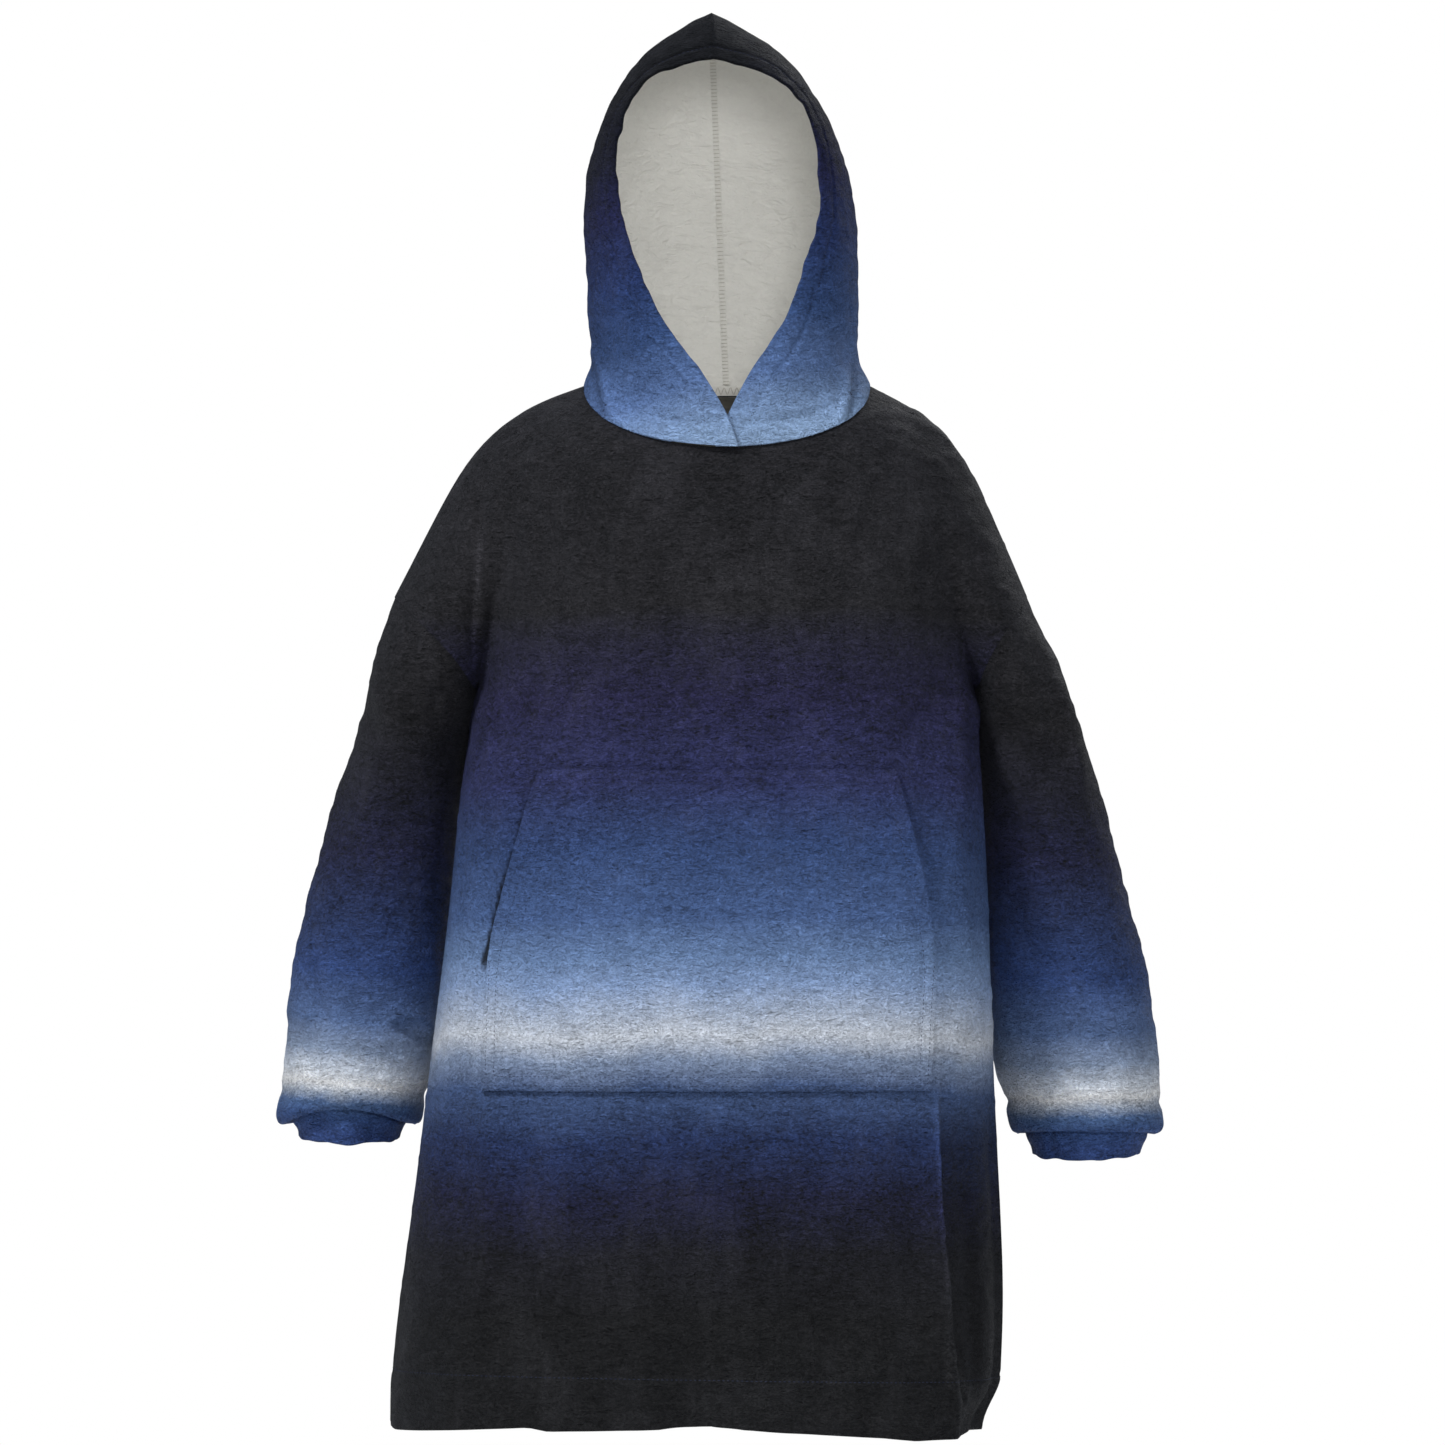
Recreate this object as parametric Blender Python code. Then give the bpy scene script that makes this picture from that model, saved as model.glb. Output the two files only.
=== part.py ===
"""An oversized pull-on fleece hoodie, filled out as when worn, made from its cut and sewn pieces.

Metres. The front faces -Y, X runs to the viewer's right and Z runs up. The origin is the
middle of the neck base, where the wearer's shoulders hold the garment. The tables are in
millimetres and are read through Sections, which turns them into metres.
"""

import math

import bmesh
import bpy
import numpy as np

MM = 0.001
CLOTH = 3.0 * MM  # thickness of the fleece
SEAM_GAP = 0.3 * MM  # between two pieces that are sewn together
BEVEL = 0.5 * MM  # how much further the inner edge of a piece stands back from a seam

NOTCH = -177 * MM  # height of the dropped armhole seam at the outside of the arm
UNDERARM = -262 * MM  # height of the armhole seam under the arm
NECK_SIDE = (129 * MM, 13.5 * MM)  # half width and height of the neckline at the shoulder
NECK_FRONT = -45 * MM  # height of the neckline at the centre front
NECK_BACK = 7 * MM  # height of the neckline at the centre back
SHOULDER_SETBACK = 24 * MM  # how far the seam runs behind the neck at the arm
SIDE_SEAM_Y = -20 * MM  # where the body's side seam runs below the arm
HEM = -925 * MM
HEM_SLANT = -0.012  # the hem drops a little towards the viewer's right
HEM_DEPTH = 45 * MM  # height of the turned and stitched hem
HEM_RAISE = 1.0 * MM  # how much the doubled hem stands out
HOOD_LEAN = -0.04  # the hood leans a little to the viewer's left

NECK_COLUMNS = 7  # from the centre to the neck corner
SHOULDER_COLUMNS = 7  # from the neck corner to the armhole or side seam
ARMHOLE_ROWS = 10  # from the shoulder point to the underarm
SIDE_ROWS = 14  # from the underarm to the turned hem
SLEEVE_ROWS = 14
HOOD_STEPS = 2  # rows between two stations of the hood

FRONT = -1
BACK = 1
VIEWER_LEFT = -1
VIEWER_RIGHT = 1


class Sections:
    """A short table with named columns, read smoothly between its rows of rising place."""

    def __init__(self, columns, rows, unit=MM):
        rows = sorted(rows)
        names = columns.split()
        self.columns = {name: np.array([row[i] for row in rows]) * unit for i, name in enumerate(names)}
        self.place = self.columns[names[0]]

    def read(self, name, at):
        """The named column at a place, on a cubic that never overshoots its rows."""
        place, value = self.place, self.columns[name]
        at = np.clip(np.asarray(at, float), place[0], place[-1])
        span = np.diff(place)
        slope = np.diff(value) / span
        tangent = np.zeros(len(place))
        turning = slope[:-1] * slope[1:] > 0
        mean = 2 * slope[:-1] * slope[1:] / np.where(turning, slope[:-1] + slope[1:], 1)
        tangent[1:-1] = np.where(turning, mean, 0)
        tangent[0], tangent[-1] = slope[0], slope[-1]
        i = np.clip(np.searchsorted(place, at, side="right") - 1, 0, len(span) - 1)
        t = (at - place[i]) / span[i]
        return (
            value[i] * (1 + 2 * t) * (1 - t) ** 2
            + tangent[i] * span[i] * t * (1 - t) ** 2
            + value[i + 1] * t**2 * (3 - 2 * t)
            - tangent[i + 1] * span[i] * t**2 * (1 - t)
        )


# Horizontal sections of the body: the middle, half the width, and the reach to front and back.
TORSO = Sections(
    "height middle half_width front back",
    [
        (14, -1, 129, 50, 58),
        (7, -3, 144, 70, 86),
        (-9, -6, 180, 96, 106),
        (-29, -8, 206, 114, 122),
        (-45, -9, 218, 125, 131),
        (-70, -8, 230, 134, 139),
        (-110, -4, 231, 144, 147),
        (-160, -1, 225, 152, 152),
        (-210, 0, 221, 157, 154),
        (-262, -1, 223.5, 160, 153),
        (-320, -4, 232, 162, 151),
        (-450, -7, 242, 168, 151),
        (-580, -13, 252, 175, 156),
        (-720, -18, 264, 180, 163),
        (-800, -22, 271, 182, 167),
        (-868, -27, 274, 182, 170),
        (-950, -31, 271, 181, 172),
    ],
)
# How square the body's sections are: 2 is an ellipse.
SQUARENESS = Sections(
    "height front back",
    [(14, 2.0, 2.0), (-60, 2.2, 2.1), (-200, 2.5, 2.2), (-450, 2.8, 2.2), (-940, 3.0, 2.3)],
    unit=1,
)
SQUARENESS.place = SQUARENESS.place * MM
# The shoulder line in the front view, from the neck to the dropped armhole seam.
SHOULDER = Sections(
    "reach height_left height_right",
    [
        (129, 13.5, 13.5),
        (148, 8, 4),
        (165, 1, -5),
        (186, -9, -18),
        (200, -18, -30),
        (213, -29, -48),
        (229, -45, -79),
        (245, -70, -117),
        (258, -95, -146),
        (271, -121, -177),
        (300, -177, -240),
    ],
)
# The arms: the outer edge in the front view on each side, how far the inner edge lies behind
# the edge of the body, the upper arm's inner edge within the body, half the depth, and the
# middle line's place from front to back.
ARMS = Sections(
    "height outer_left outer_right tuck_left tuck_right upper_inner half_depth middle_y",
    [
        (-40, 226, 212, 0, 0, 150, 40, 24),
        (-80, 250, 231, 0, 0, 152, 66, 24),
        (-130, 276, 252, 0, 0, 160, 80, 24),
        (-177, 300, 271, 0, 0, 176, 85, 24),
        (-210, 312, 285, 0, 0, 192, 85, 24),
        (-240, 320, 298, 0, 0, 209, 84, 24),
        (-262, 326, 306, 0, 0, 223, 83, 24),
        (-276, 330, 311, -1, -1, 223, 82, 28),
        (-292, 335, 317, 0, 0, 223, 81, 35),
        (-325, 344, 330, 4, 4, 223, 80, 44),
        (-378, 362, 346, 5, 5, 223, 79, 50),
        (-450, 380, 365, 6, 6, 223, 79, 52),
        (-500, 391, 378, 6, 6, 223, 80, 53),
        (-533, 400, 384, 4, 5, 223, 81, 53),
        (-560, 396, 387, 4, 4, 223, 78, 52),
        (-600, 401, 393, 4, 1, 223, 77, 51),
        (-625, 406, 392, 1, -8, 223, 76, 50),
        (-660, 409, 396, -5, -14, 223, 75, 49),
    ],
)
# Each sleeve's lowest line, how much its front arches up there, and the cuff below it.
SLEEVE_ENDS = {
    VIEWER_LEFT: {"lip": -642 * MM, "arch": 11 * MM, "cuff_end": -669 * MM},
    VIEWER_RIGHT: {"lip": -650 * MM, "arch": 4 * MM, "cuff_end": -684 * MM},
}
# How the sleeve's end turns under: the drop below the lip and the inset from its outline.
TURN_UNDER = [(7 * MM, 1.5 * MM), (10.5 * MM, 6 * MM), (7 * MM, 10.5 * MM), (-4 * MM, 11.5 * MM)]
CUFF_RISE = 14 * MM  # how far the cuff reaches up behind the turned sleeve
CUFF_INSET = (12 * MM, 15 * MM)  # the cuff's outline inside the sleeve's, at its seam and its end
CUFF_ROWS = 5

# Stations of the hood's half, from the neck to the crown: its front edge, its side, its back
# seam, and how far round the front edge is turned, in degrees.
HOOD_COLUMNS = "edge_x edge_y edge_z side_x side_y side_z back_y back_z turn".split()
HOOD_STATIONS = [
    (1, -133, -14, 121, -4, 40, 106, 42, 90),
    (25, -131, 28, 122, -8, 76, 121, 86, 90),
    (55, -127, 66, 122, -10, 115, 131, 130, 85),
    (79, -121, 126, 122.5, -12, 155, 136, 176, 78),
    (92, -116, 180, 120, -13, 193, 136, 215, 70),
    (91, -112, 226, 109, -14, 233, 129, 254, 66),
    (79, -107, 266, 89, -13, 276, 113, 292, 64),
    (50, -103, 293, 54, -11, 319, 88, 322, 64),
    (0, -100, 305, 0, -6, 349, 58, 340, 64),
]
HOOD_CROSSING = 10 * MM  # how far each front edge crosses the centre at the neckline
HOOD_FRONT_COLUMNS = NECK_COLUMNS + 1

# The kangaroo pocket in the front view.
POCKET_TOP = -332 * MM
POCKET_CORNER = -505 * MM
POCKET_BOTTOM = -618 * MM
POCKET_TOP_HALF = 158 * MM
POCKET_BOTTOM_HALF = 199 * MM
POCKET_SHIFT = -4 * MM
POCKET_OPENING_LIFT = 9 * MM  # how far the slanted edges stand off the front
POCKET_CENTRE_LIFT = 7 * MM
POCKET_COLUMNS = 14
POCKET_ROWS = 12

# The largest folds, as soft troughs (depth below 0) and ridges: the piece, both ends in the
# front view, half the width, and the depth, in millimetres.
FOLD_COLUMNS = "x_start z_start x_end z_end half_width depth".split()
FOLDS = {
    "front": [
        (209, -640, 224, -900, 16, -12),
        (180, -650, 200, -880, 16, 4),
        (-205, -330, -228, -560, 18, -3),
        (150, -120, 172, -300, 20, -3),
        (-152, -100, -176, -320, 20, -3),
        (-60, -660, -90, -910, 26, 3),
        (-17, -700, -17, -915, 20, -3),
        (90, -680, 110, -915, 26, 3),
    ],
    "back": [
        (0, -250, 6, -900, 30, -8),
        (-88, -330, -112, -905, 26, 7),
        (80, -300, 96, -905, 26, 7),
        (-176, -380, -196, -900, 24, -7),
        (160, -420, 180, -900, 24, -7),
        (-120, -70, -40, -190, 22, -4),
        (120, -75, 44, -200, 22, -4),
    ],
    "sleeve_left": [
        (-345, -300, -352, -480, 18, -4),
        (-300, -560, -370, -545, 14, -5),
        (-300, -596, -390, -588, 12, 4),
    ],
    "sleeve_right": [
        (281, -200, 316, -356, 13, 5),
        (268, -210, 296, -380, 14, -4),
        (262, -545, 340, -556, 14, -5),
        (262, -588, 372, -594, 12, 4),
    ],
}

# Base colour and roughness of each finish.
FINISHES = {
    "fleece_body": ((0.018, 0.019, 0.024), 0.95),
    "fleece_sleeve": ((0.035, 0.06, 0.13), 0.95),
    "fleece_hood": ((0.045, 0.09, 0.24), 0.95),
    "fleece_pocket": ((0.05, 0.1, 0.24), 0.95),
}


def clear_scene():
    for item in list(bpy.data.objects):
        bpy.data.objects.remove(item)


def finish(name):
    material = bpy.data.materials.get(name) or bpy.data.materials.new(name)
    colour, roughness = FINISHES[name]
    material.use_nodes = True
    shader = material.node_tree.nodes["Principled BSDF"]
    shader.inputs["Base Color"].default_value = (*colour, 1)
    shader.inputs["Roughness"].default_value = roughness
    shader.inputs["Metallic"].default_value = 0
    return material


def ease(value, start, end):
    """0 before start, 1 after end, and a smooth step between them."""
    t = np.clip((value - start) / (end - start), 0, 1)
    return t * t * (3 - 2 * t)


def smooth_larger(a, b, blend):
    """The larger of two values, rounded over where they are close."""
    return np.maximum(a, b) + np.maximum(blend - np.abs(a - b), 0) ** 2 / (4 * np.maximum(blend, 1e-9))


def fold_depth(piece, x, z):
    """How far the folds of a piece move its cloth in or out, at a place in the front view."""
    total = np.zeros(np.broadcast(x, z).shape)
    for row in FOLDS.get(piece, []):
        fold = {name: value * MM for name, value in zip(FOLD_COLUMNS, row)}
        along_x = fold["x_end"] - fold["x_start"]
        along_z = fold["z_end"] - fold["z_start"]
        length = math.hypot(along_x, along_z)
        place = ((x - fold["x_start"]) * along_x + (z - fold["z_start"]) * along_z) / length**2
        across = ((x - fold["x_start"]) * along_z - (z - fold["z_start"]) * along_x) / length
        taper = ease(place, -0.05, 0.3) * ease(place, 1.15, 0.85)
        total = total + fold["depth"] * taper * np.exp(-((across / fold["half_width"]) ** 2))
    return total


def body_edge(side, z):
    """X of the body's own edge on one side."""
    return TORSO.read("middle", z) + side * TORSO.read("half_width", z)


def arm_edges(side, z):
    """X of the arm's outer and inner edges on one side."""
    name = "left" if side == VIEWER_LEFT else "right"
    outer = side * ARMS.read("outer_" + name, z)
    below = body_edge(side, z) - side * ARMS.read("tuck_" + name, z)
    upper = side * ARMS.read("upper_inner", z)
    at_underarm = body_edge(side, UNDERARM) - side * ARMS.read("upper_inner", UNDERARM)
    within = upper + at_underarm * ease(z, NOTCH, UNDERARM)
    return outer, np.where(z < UNDERARM, below, within)


def arm_middle(side, z):
    outer, inner = arm_edges(side, z)
    return (outer + inner) / 2


def arm_half_width(side, z):
    outer, inner = arm_edges(side, z)
    return np.abs(outer - inner) / 2


def arm_depth(side, x, z):
    """Half the depth of the arm at a place in the front view, below 0 outside it."""
    off = (x - arm_middle(side, z)) / arm_half_width(side, z)
    inside = np.sqrt(np.clip(1 - off**2, 0, 1))
    return ARMS.read("half_depth", z) * np.where(np.abs(off) < 1, inside, 1 - np.abs(off))


def torso_depth(facing, x, z):
    """How far the body itself reaches forward or back at a place in the front view."""
    name = "front" if facing == FRONT else "back"
    power = SQUARENESS.read(name, z)
    off = np.abs(x - TORSO.read("middle", z)) / TORSO.read("half_width", z)
    inside = np.clip(1 - off**power, 0, 1) ** (1 / power)
    return TORSO.read(name, z) * np.where(off < 1, inside, 1 - off)


def seam_y(x, z):
    """Where the line between front and back runs: behind the neck at the arms."""
    upper = SHOULDER_SETBACK * ease(np.abs(x), 100 * MM, 200 * MM)
    return upper + (SIDE_SEAM_Y - upper) * ease(z, UNDERARM, -370 * MM)


def above_armhole(side, x, z):
    """Distance of a place in the front view from the line of the armhole seam."""
    notch_x = arm_edges(side, NOTCH)[0]
    under_x = body_edge(side, UNDERARM)
    along_x = notch_x - under_x
    along_z = NOTCH - UNDERARM
    cross = (z - UNDERARM) * along_x - (x - under_x) * along_z
    return side * cross / math.hypot(along_x, along_z)


def body_depth(facing, x, z):
    """How far the front or back reaches: the body and the upper arms, merged at the fold."""
    side = np.where(x < 0, VIEWER_LEFT, VIEWER_RIGHT)
    arm = np.where(side == VIEWER_LEFT, arm_depth(VIEWER_LEFT, x, z), arm_depth(VIEWER_RIGHT, x, z))
    away = np.where(
        side == VIEWER_LEFT,
        above_armhole(VIEWER_LEFT, x, z),
        above_armhole(VIEWER_RIGHT, x, z),
    )
    blend = 22 * MM * ease(away, 0, 40 * MM) + 0.01 * MM
    arm = np.where(z < UNDERARM, -1, arm)
    return np.maximum(smooth_larger(torso_depth(facing, x, z), arm, blend), 0)


def neckline_height(facing, x):
    """Height of the neckline at a distance from its centre."""
    half_width, side_height = NECK_SIDE
    turn = np.sqrt(np.clip(1 - (x / half_width) ** 2, 0, 1))
    if facing == FRONT:
        return side_height - (side_height - NECK_FRONT) * turn**0.9
    return side_height - (side_height - NECK_BACK) * turn


def top_edge(facing, side):
    """X and height of a panel's top edge, from the centre along neckline and shoulder."""
    half_width = NECK_SIDE[0]
    reach = abs(float(arm_edges(side, NOTCH)[0]))
    turned = 1 - np.linspace(1, 0, NECK_COLUMNS + 1) ** 1.3
    neck = half_width * np.sin(math.pi / 2 * turned)
    shoulder = np.sin(np.linspace(0, math.pi / 2, SHOULDER_COLUMNS + 1)[1:])
    shoulder = half_width + (reach - half_width) * shoulder
    column = "height_left" if side == VIEWER_LEFT else "height_right"
    heights = np.concatenate([neckline_height(facing, neck), SHOULDER.read(column, shoulder)])
    heights[-1] = NOTCH
    return side * np.concatenate([neck, shoulder]), heights


def hem_height(x):
    """The hem's lower edge, with the low wave that it has at the centre."""
    return HEM + HEM_SLANT * x + 6 * MM * np.exp(-(((x + 17 * MM) / (26 * MM)) ** 2))


def row_shares():
    """How far down each row of the body lies, from its top edge to its hem."""
    armhole = (1 - np.cos(np.linspace(0, math.pi, ARMHOLE_ROWS + 1))) / 2
    to_underarm = (NOTCH - UNDERARM) / (NOTCH - HEM)
    hem_line = 1 - HEM_DEPTH / (NOTCH - HEM)
    hem_step = 3 * MM / (NOTCH - HEM)
    below_underarm = to_underarm + 7 * MM / (NOTCH - HEM)
    side = np.linspace(to_underarm, hem_line - hem_step, SIDE_ROWS + 1)[1:]
    hem = [hem_line, (hem_line + 1) / 2, 1]
    return np.concatenate([armhole * to_underarm, [below_underarm], side, hem])


def armhole_x(side, z):
    """X of the armhole seam in the front view, between the shoulder point and the underarm."""
    turn = 1 - 2 * np.clip((NOTCH - z) / (NOTCH - UNDERARM), 0, 1)
    return arm_middle(side, z) + side * arm_half_width(side, z) * turn


def body_half(facing, side):
    """The places in the front view of half a panel's points, as rows by columns from the centre."""
    top_x, top_z = top_edge(facing, side)
    shares = row_shares()[:, None]
    edge_z = NOTCH + (HEM - NOTCH) * shares
    across = np.sin(np.linspace(0, math.pi / 2, len(top_x)))[None, :]
    middle = TORSO.read("middle", edge_z)
    x = middle + (body_edge(side, edge_z) - middle) * across
    # down to the underarm the columns spread from the neck and close in from the shoulder
    upper = np.arange(ARMHOLE_ROWS + 1)
    armhole = armhole_x(side, edge_z[upper])
    share = (armhole - armhole[0]) / (armhole[-1] - armhole[0])
    haste = np.interp(np.arange(len(top_x)), [NECK_COLUMNS, len(top_x) - 1], [0.6, 1])[None, :]
    x[upper] = top_x + (x[ARMHOLE_ROWS] - top_x) * share**haste
    z = top_z[None, :] + (hem_height(x) - top_z[None, :]) * shares
    z[upper, -1] = edge_z[upper, 0]
    # below the underarm every point keeps within the body's width at its own height
    below = np.arange(ARMHOLE_ROWS + 1, len(shares))
    middle = TORSO.read("middle", z[below])
    within = middle + (body_edge(side, z[below]) - middle) * across
    x[below] = side * np.minimum(side * x[below], side * within)
    return x, z


def mirrored_halves(facing):
    """A whole panel's places in the front view, from the viewer's left edge to the right."""
    left_x, left_z = body_half(facing, VIEWER_LEFT)
    right_x, right_z = body_half(facing, VIEWER_RIGHT)
    x = np.concatenate([left_x[:, :0:-1], right_x], axis=1)
    z = np.concatenate([left_z[:, :0:-1], right_z], axis=1)
    return x, z


def edge_fade(shape, margin=2.5):
    """0 on the edges of a grid and 1 a few points inside it, so that folds end at the seams."""
    rows = np.minimum(np.arange(shape[0]), 100)[:, None]
    columns = np.minimum(np.arange(shape[1]), np.arange(shape[1])[::-1])[None, :]
    return ease(np.minimum(rows, columns), 0, margin)


def panel_surface(facing, x, z, folds=True, fade=1.0):
    """Points of the front or the back at places in the front view."""
    piece = "front" if facing == FRONT else "back"
    depth = body_depth(facing, x, z)
    if folds:
        depth = depth + fold_depth(piece, x, z) * fade
    return np.stack([x, seam_y(x, z) + facing * depth, z], axis=-1)


def body_panel(facing):
    """The grid of the front or the back, with its side and armhole edges in place."""
    x, z = mirrored_halves(facing)
    grid = panel_surface(facing, x, z, fade=edge_fade(x.shape))
    for column in (0, -1):
        below = z[:, column] <= UNDERARM + 1e-9
        grid[below, column, 1] = seam_y(x[below, column], z[below, column])
    shoulder = np.abs(x[0]) >= NECK_SIDE[0] - 1e-9
    grid[0, shoulder, 1] = seam_y(x[0, shoulder], z[0, shoulder])
    return grid


def grid_normals(grid, closed, outward):
    """Unit normals of a grid of points, turned so that they point outwards."""
    if closed:
        wrapped = np.concatenate([grid[:, -1:], grid, grid[:, :1]], axis=1)
        across = (wrapped[:, 2:] - wrapped[:, :-2]) / 2
    else:
        across = np.gradient(grid, axis=1)
    down = np.gradient(grid, axis=0)
    normal = np.cross(across, down)
    length = np.linalg.norm(normal, axis=-1, keepdims=True)
    return outward * normal / np.maximum(length, 1e-12)


def evened(normal, closed, passes=2):
    """Normals averaged with their neighbours, so that the wall stays whole in tight folds."""
    for _ in range(passes):
        padded = np.concatenate([normal[:1], normal, normal[-1:]])
        down = padded[:-2] + padded[2:]
        if closed:
            around = np.roll(normal, 1, axis=1) + np.roll(normal, -1, axis=1)
        else:
            padded = np.concatenate([normal[:, :1], normal, normal[:, -1:]], axis=1)
            around = padded[:, :-2] + padded[:, 2:]
        normal = 2 * normal + down + around
        normal = normal / np.maximum(np.linalg.norm(normal, axis=-1, keepdims=True), 1e-12)
    return normal


def along(vectors, axis):
    """How far vectors reach along an axis. The axis may be zero where there is none."""
    return (vectors * axis).sum(axis=-1, keepdims=True)


def square_to_seams(normal, seams):
    """Turns the normals at each seam square to the axis that runs across it."""
    for axis in seams:
        normal = normal - axis * along(normal, axis)
    if len(seams) > 1:
        # where side seam and armhole meet, under the arm, the cloth faces down
        both = (np.abs(seams[0]).max(axis=-1) > 0) & (np.abs(seams[1]).max(axis=-1) > 0)
        both &= np.arange(len(both))[:, None] > 0
        normal[both] = (0, 0, -1)
    return normal / np.maximum(np.linalg.norm(normal, axis=-1, keepdims=True), 1e-12)


def pull_back(grid, seams, distance):
    """Moves the points at each seam back from it, towards the middle of their own piece."""
    moved = grid.copy()
    middle = grid.mean(axis=(0, 1))
    for axis in seams:
        moved += axis * np.sign(along(middle - grid, axis)) * distance
    return moved


def cloth_piece(name, outer, inner, closed, material, parent):
    """One closed wall of cloth between an outer and an inner grid of points."""
    rows, columns = outer.shape[:2]
    mesh = bmesh.new()
    skins = [[[mesh.verts.new(point) for point in row] for row in grid] for grid in (outer, inner)]
    last = columns if closed else columns - 1
    for flip, skin in enumerate(skins):
        for r in range(rows - 1):
            for c in range(last):
                a, b = outer[r, c], outer[r + 1, (c + 1) % columns]
                d, e = outer[r + 1, c], outer[r, (c + 1) % columns]
                corners = [(r, c), (r + 1, c), (r + 1, (c + 1) % columns), (r, (c + 1) % columns)]
                if np.linalg.norm(a - b) > np.linalg.norm(d - e):
                    corners = corners[1:] + corners[:1]
                face = [skin[i][j] for i, j in corners]
                for triangle in (face[:3], [face[2], face[3], face[0]]):
                    mesh.faces.new(triangle[::-1] if flip else triangle)
    rims = [[(0, c) for c in range(columns)], [(rows - 1, c) for c in range(columns)]]
    if closed:
        rims = [rim + rim[:1] for rim in rims]
    else:
        rims += [[(r, 0) for r in range(rows)], [(r, columns - 1) for r in range(rows)]]
    for rim in rims:
        for (r, c), (next_r, next_c) in zip(rim, rim[1:]):
            outer_pair = skins[0][r][c], skins[0][next_r][next_c]
            inner_pair = skins[1][next_r][next_c], skins[1][r][c]
            mesh.faces.new((*outer_pair, *inner_pair))
    bmesh.ops.recalc_face_normals(mesh, faces=mesh.faces)
    data = bpy.data.meshes.new(name)
    mesh.to_mesh(data)
    mesh.free()
    data.shade_smooth()
    data.set_sharp_from_angle(angle=math.radians(50))
    data.materials.append(finish(material))
    item = bpy.data.objects.new(name, data)
    bpy.context.scene.collection.objects.link(item)
    item.parent = parent
    return item


def make_wall(name, grid, seams, outward, material, parent, closed=False, relief=None):
    """A wall of cloth under a grid of points. Its relief raises the outer face alone."""
    normal = square_to_seams(evened(grid_normals(grid, closed, outward), closed), seams)
    outer = grid if relief is None else grid + normal * relief[..., None]
    outer = pull_back(outer, seams, SEAM_GAP / 2)
    inner = pull_back(grid - normal * CLOTH, seams, SEAM_GAP / 2 + BEVEL)
    return cloth_piece(name, outer, inner, closed, material, parent)


def armhole_axis(side):
    """The unit vector across the armhole seam, from the body into the sleeve."""
    along_x = float(arm_edges(side, NOTCH)[0]) - float(body_edge(side, UNDERARM))
    along_z = NOTCH - UNDERARM
    length = math.hypot(along_x, along_z)
    return np.array([side * along_z / length, 0, -abs(along_x) / length])


def body_seams(grid):
    """The axes across a panel's seams: front to back at shoulder and side, and at the armholes."""
    front_to_back, armhole = np.zeros_like(grid), np.zeros_like(grid)
    shoulder = np.abs(grid[0, :, 0]) >= NECK_SIDE[0] - 1e-9
    front_to_back[0, shoulder, 1] = 1
    for column, side in ((0, VIEWER_LEFT), (-1, VIEWER_RIGHT)):
        height = grid[:, column, 2]
        front_to_back[height <= UNDERARM + 1e-9, column, 1] = 1
        armhole[height >= UNDERARM - 1e-9, column] = armhole_axis(side)
    return front_to_back, armhole


def make_body(parent):
    """The front and the back, each with its turned hem raised below the stitching."""
    for name, facing in (("front", FRONT), ("back", BACK)):
        grid = body_panel(facing)
        relief = np.zeros(grid.shape[:2])
        relief[-3:] = HEM_RAISE
        make_wall(name, grid, body_seams(grid), facing, "fleece_body", parent, relief=relief)


def sleeve_ring(side, outer_z, inner_z, inset=0.0):
    """One ring of a sleeve, from its outer edge round the front to the inner edge and back."""
    angle = np.concatenate([np.linspace(0, math.pi, ARMHOLE_ROWS + 1), np.linspace(math.pi, 2 * math.pi, ARMHOLE_ROWS + 1)[1:-1]])
    z = outer_z + (inner_z - outer_z) * (1 - np.cos(angle)) / 2
    half_width = arm_half_width(side, z) - inset
    half_depth = ARMS.read("half_depth", z) - inset
    x = arm_middle(side, z) + side * half_width * np.cos(angle)
    y = ARMS.read("middle_y", z) - half_depth * np.sin(angle)
    return np.stack([x, y, z], axis=-1)


def make_sleeve(side, parent):
    """A sleeve from the dropped armhole seam to its end, which turns under round the cuff."""
    name = "sleeve_left" if side == VIEWER_LEFT else "sleeve_right"
    end = SLEEVE_ENDS[side]
    shares = np.linspace(0, 1, SLEEVE_ROWS + 1)
    rings = [
        sleeve_ring(side, NOTCH + (end["lip"] - NOTCH) * s, UNDERARM + (end["lip"] - UNDERARM) * s)
        for s in shares
    ]
    lip = rings[-1]
    for drop, inset in TURN_UNDER:
        ring = sleeve_ring(side, end["lip"], end["lip"], inset)
        ring[:, 2] = lip[:, 2] - drop
        rings.append(ring)
    grid = np.array(rings)
    facing_front = np.clip(ARMS.read("middle_y", grid[..., 2]) - grid[..., 1], 0, None) / (80 * MM)
    low = ease(np.arange(len(rings)), SLEEVE_ROWS - 4, SLEEVE_ROWS)[:, None]
    grid[..., 2] += end["arch"] * low * facing_front**1.5
    normal = grid_normals(grid, True, side)
    fade = ease(np.arange(len(rings)), 0, 2)[:, None] * ease(np.arange(len(rings)), SLEEVE_ROWS + 1, SLEEVE_ROWS - 1)[:, None]
    folds = fold_depth(name, grid[..., 0], grid[..., 2]) * fade * np.clip(facing_front * 2, 0, 1)
    grid = grid + normal * folds[..., None]
    armhole = np.zeros_like(grid)
    armhole[0] = armhole_axis(side)
    make_wall(name, grid, [armhole], side, "fleece_sleeve", parent, closed=True)


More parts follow.
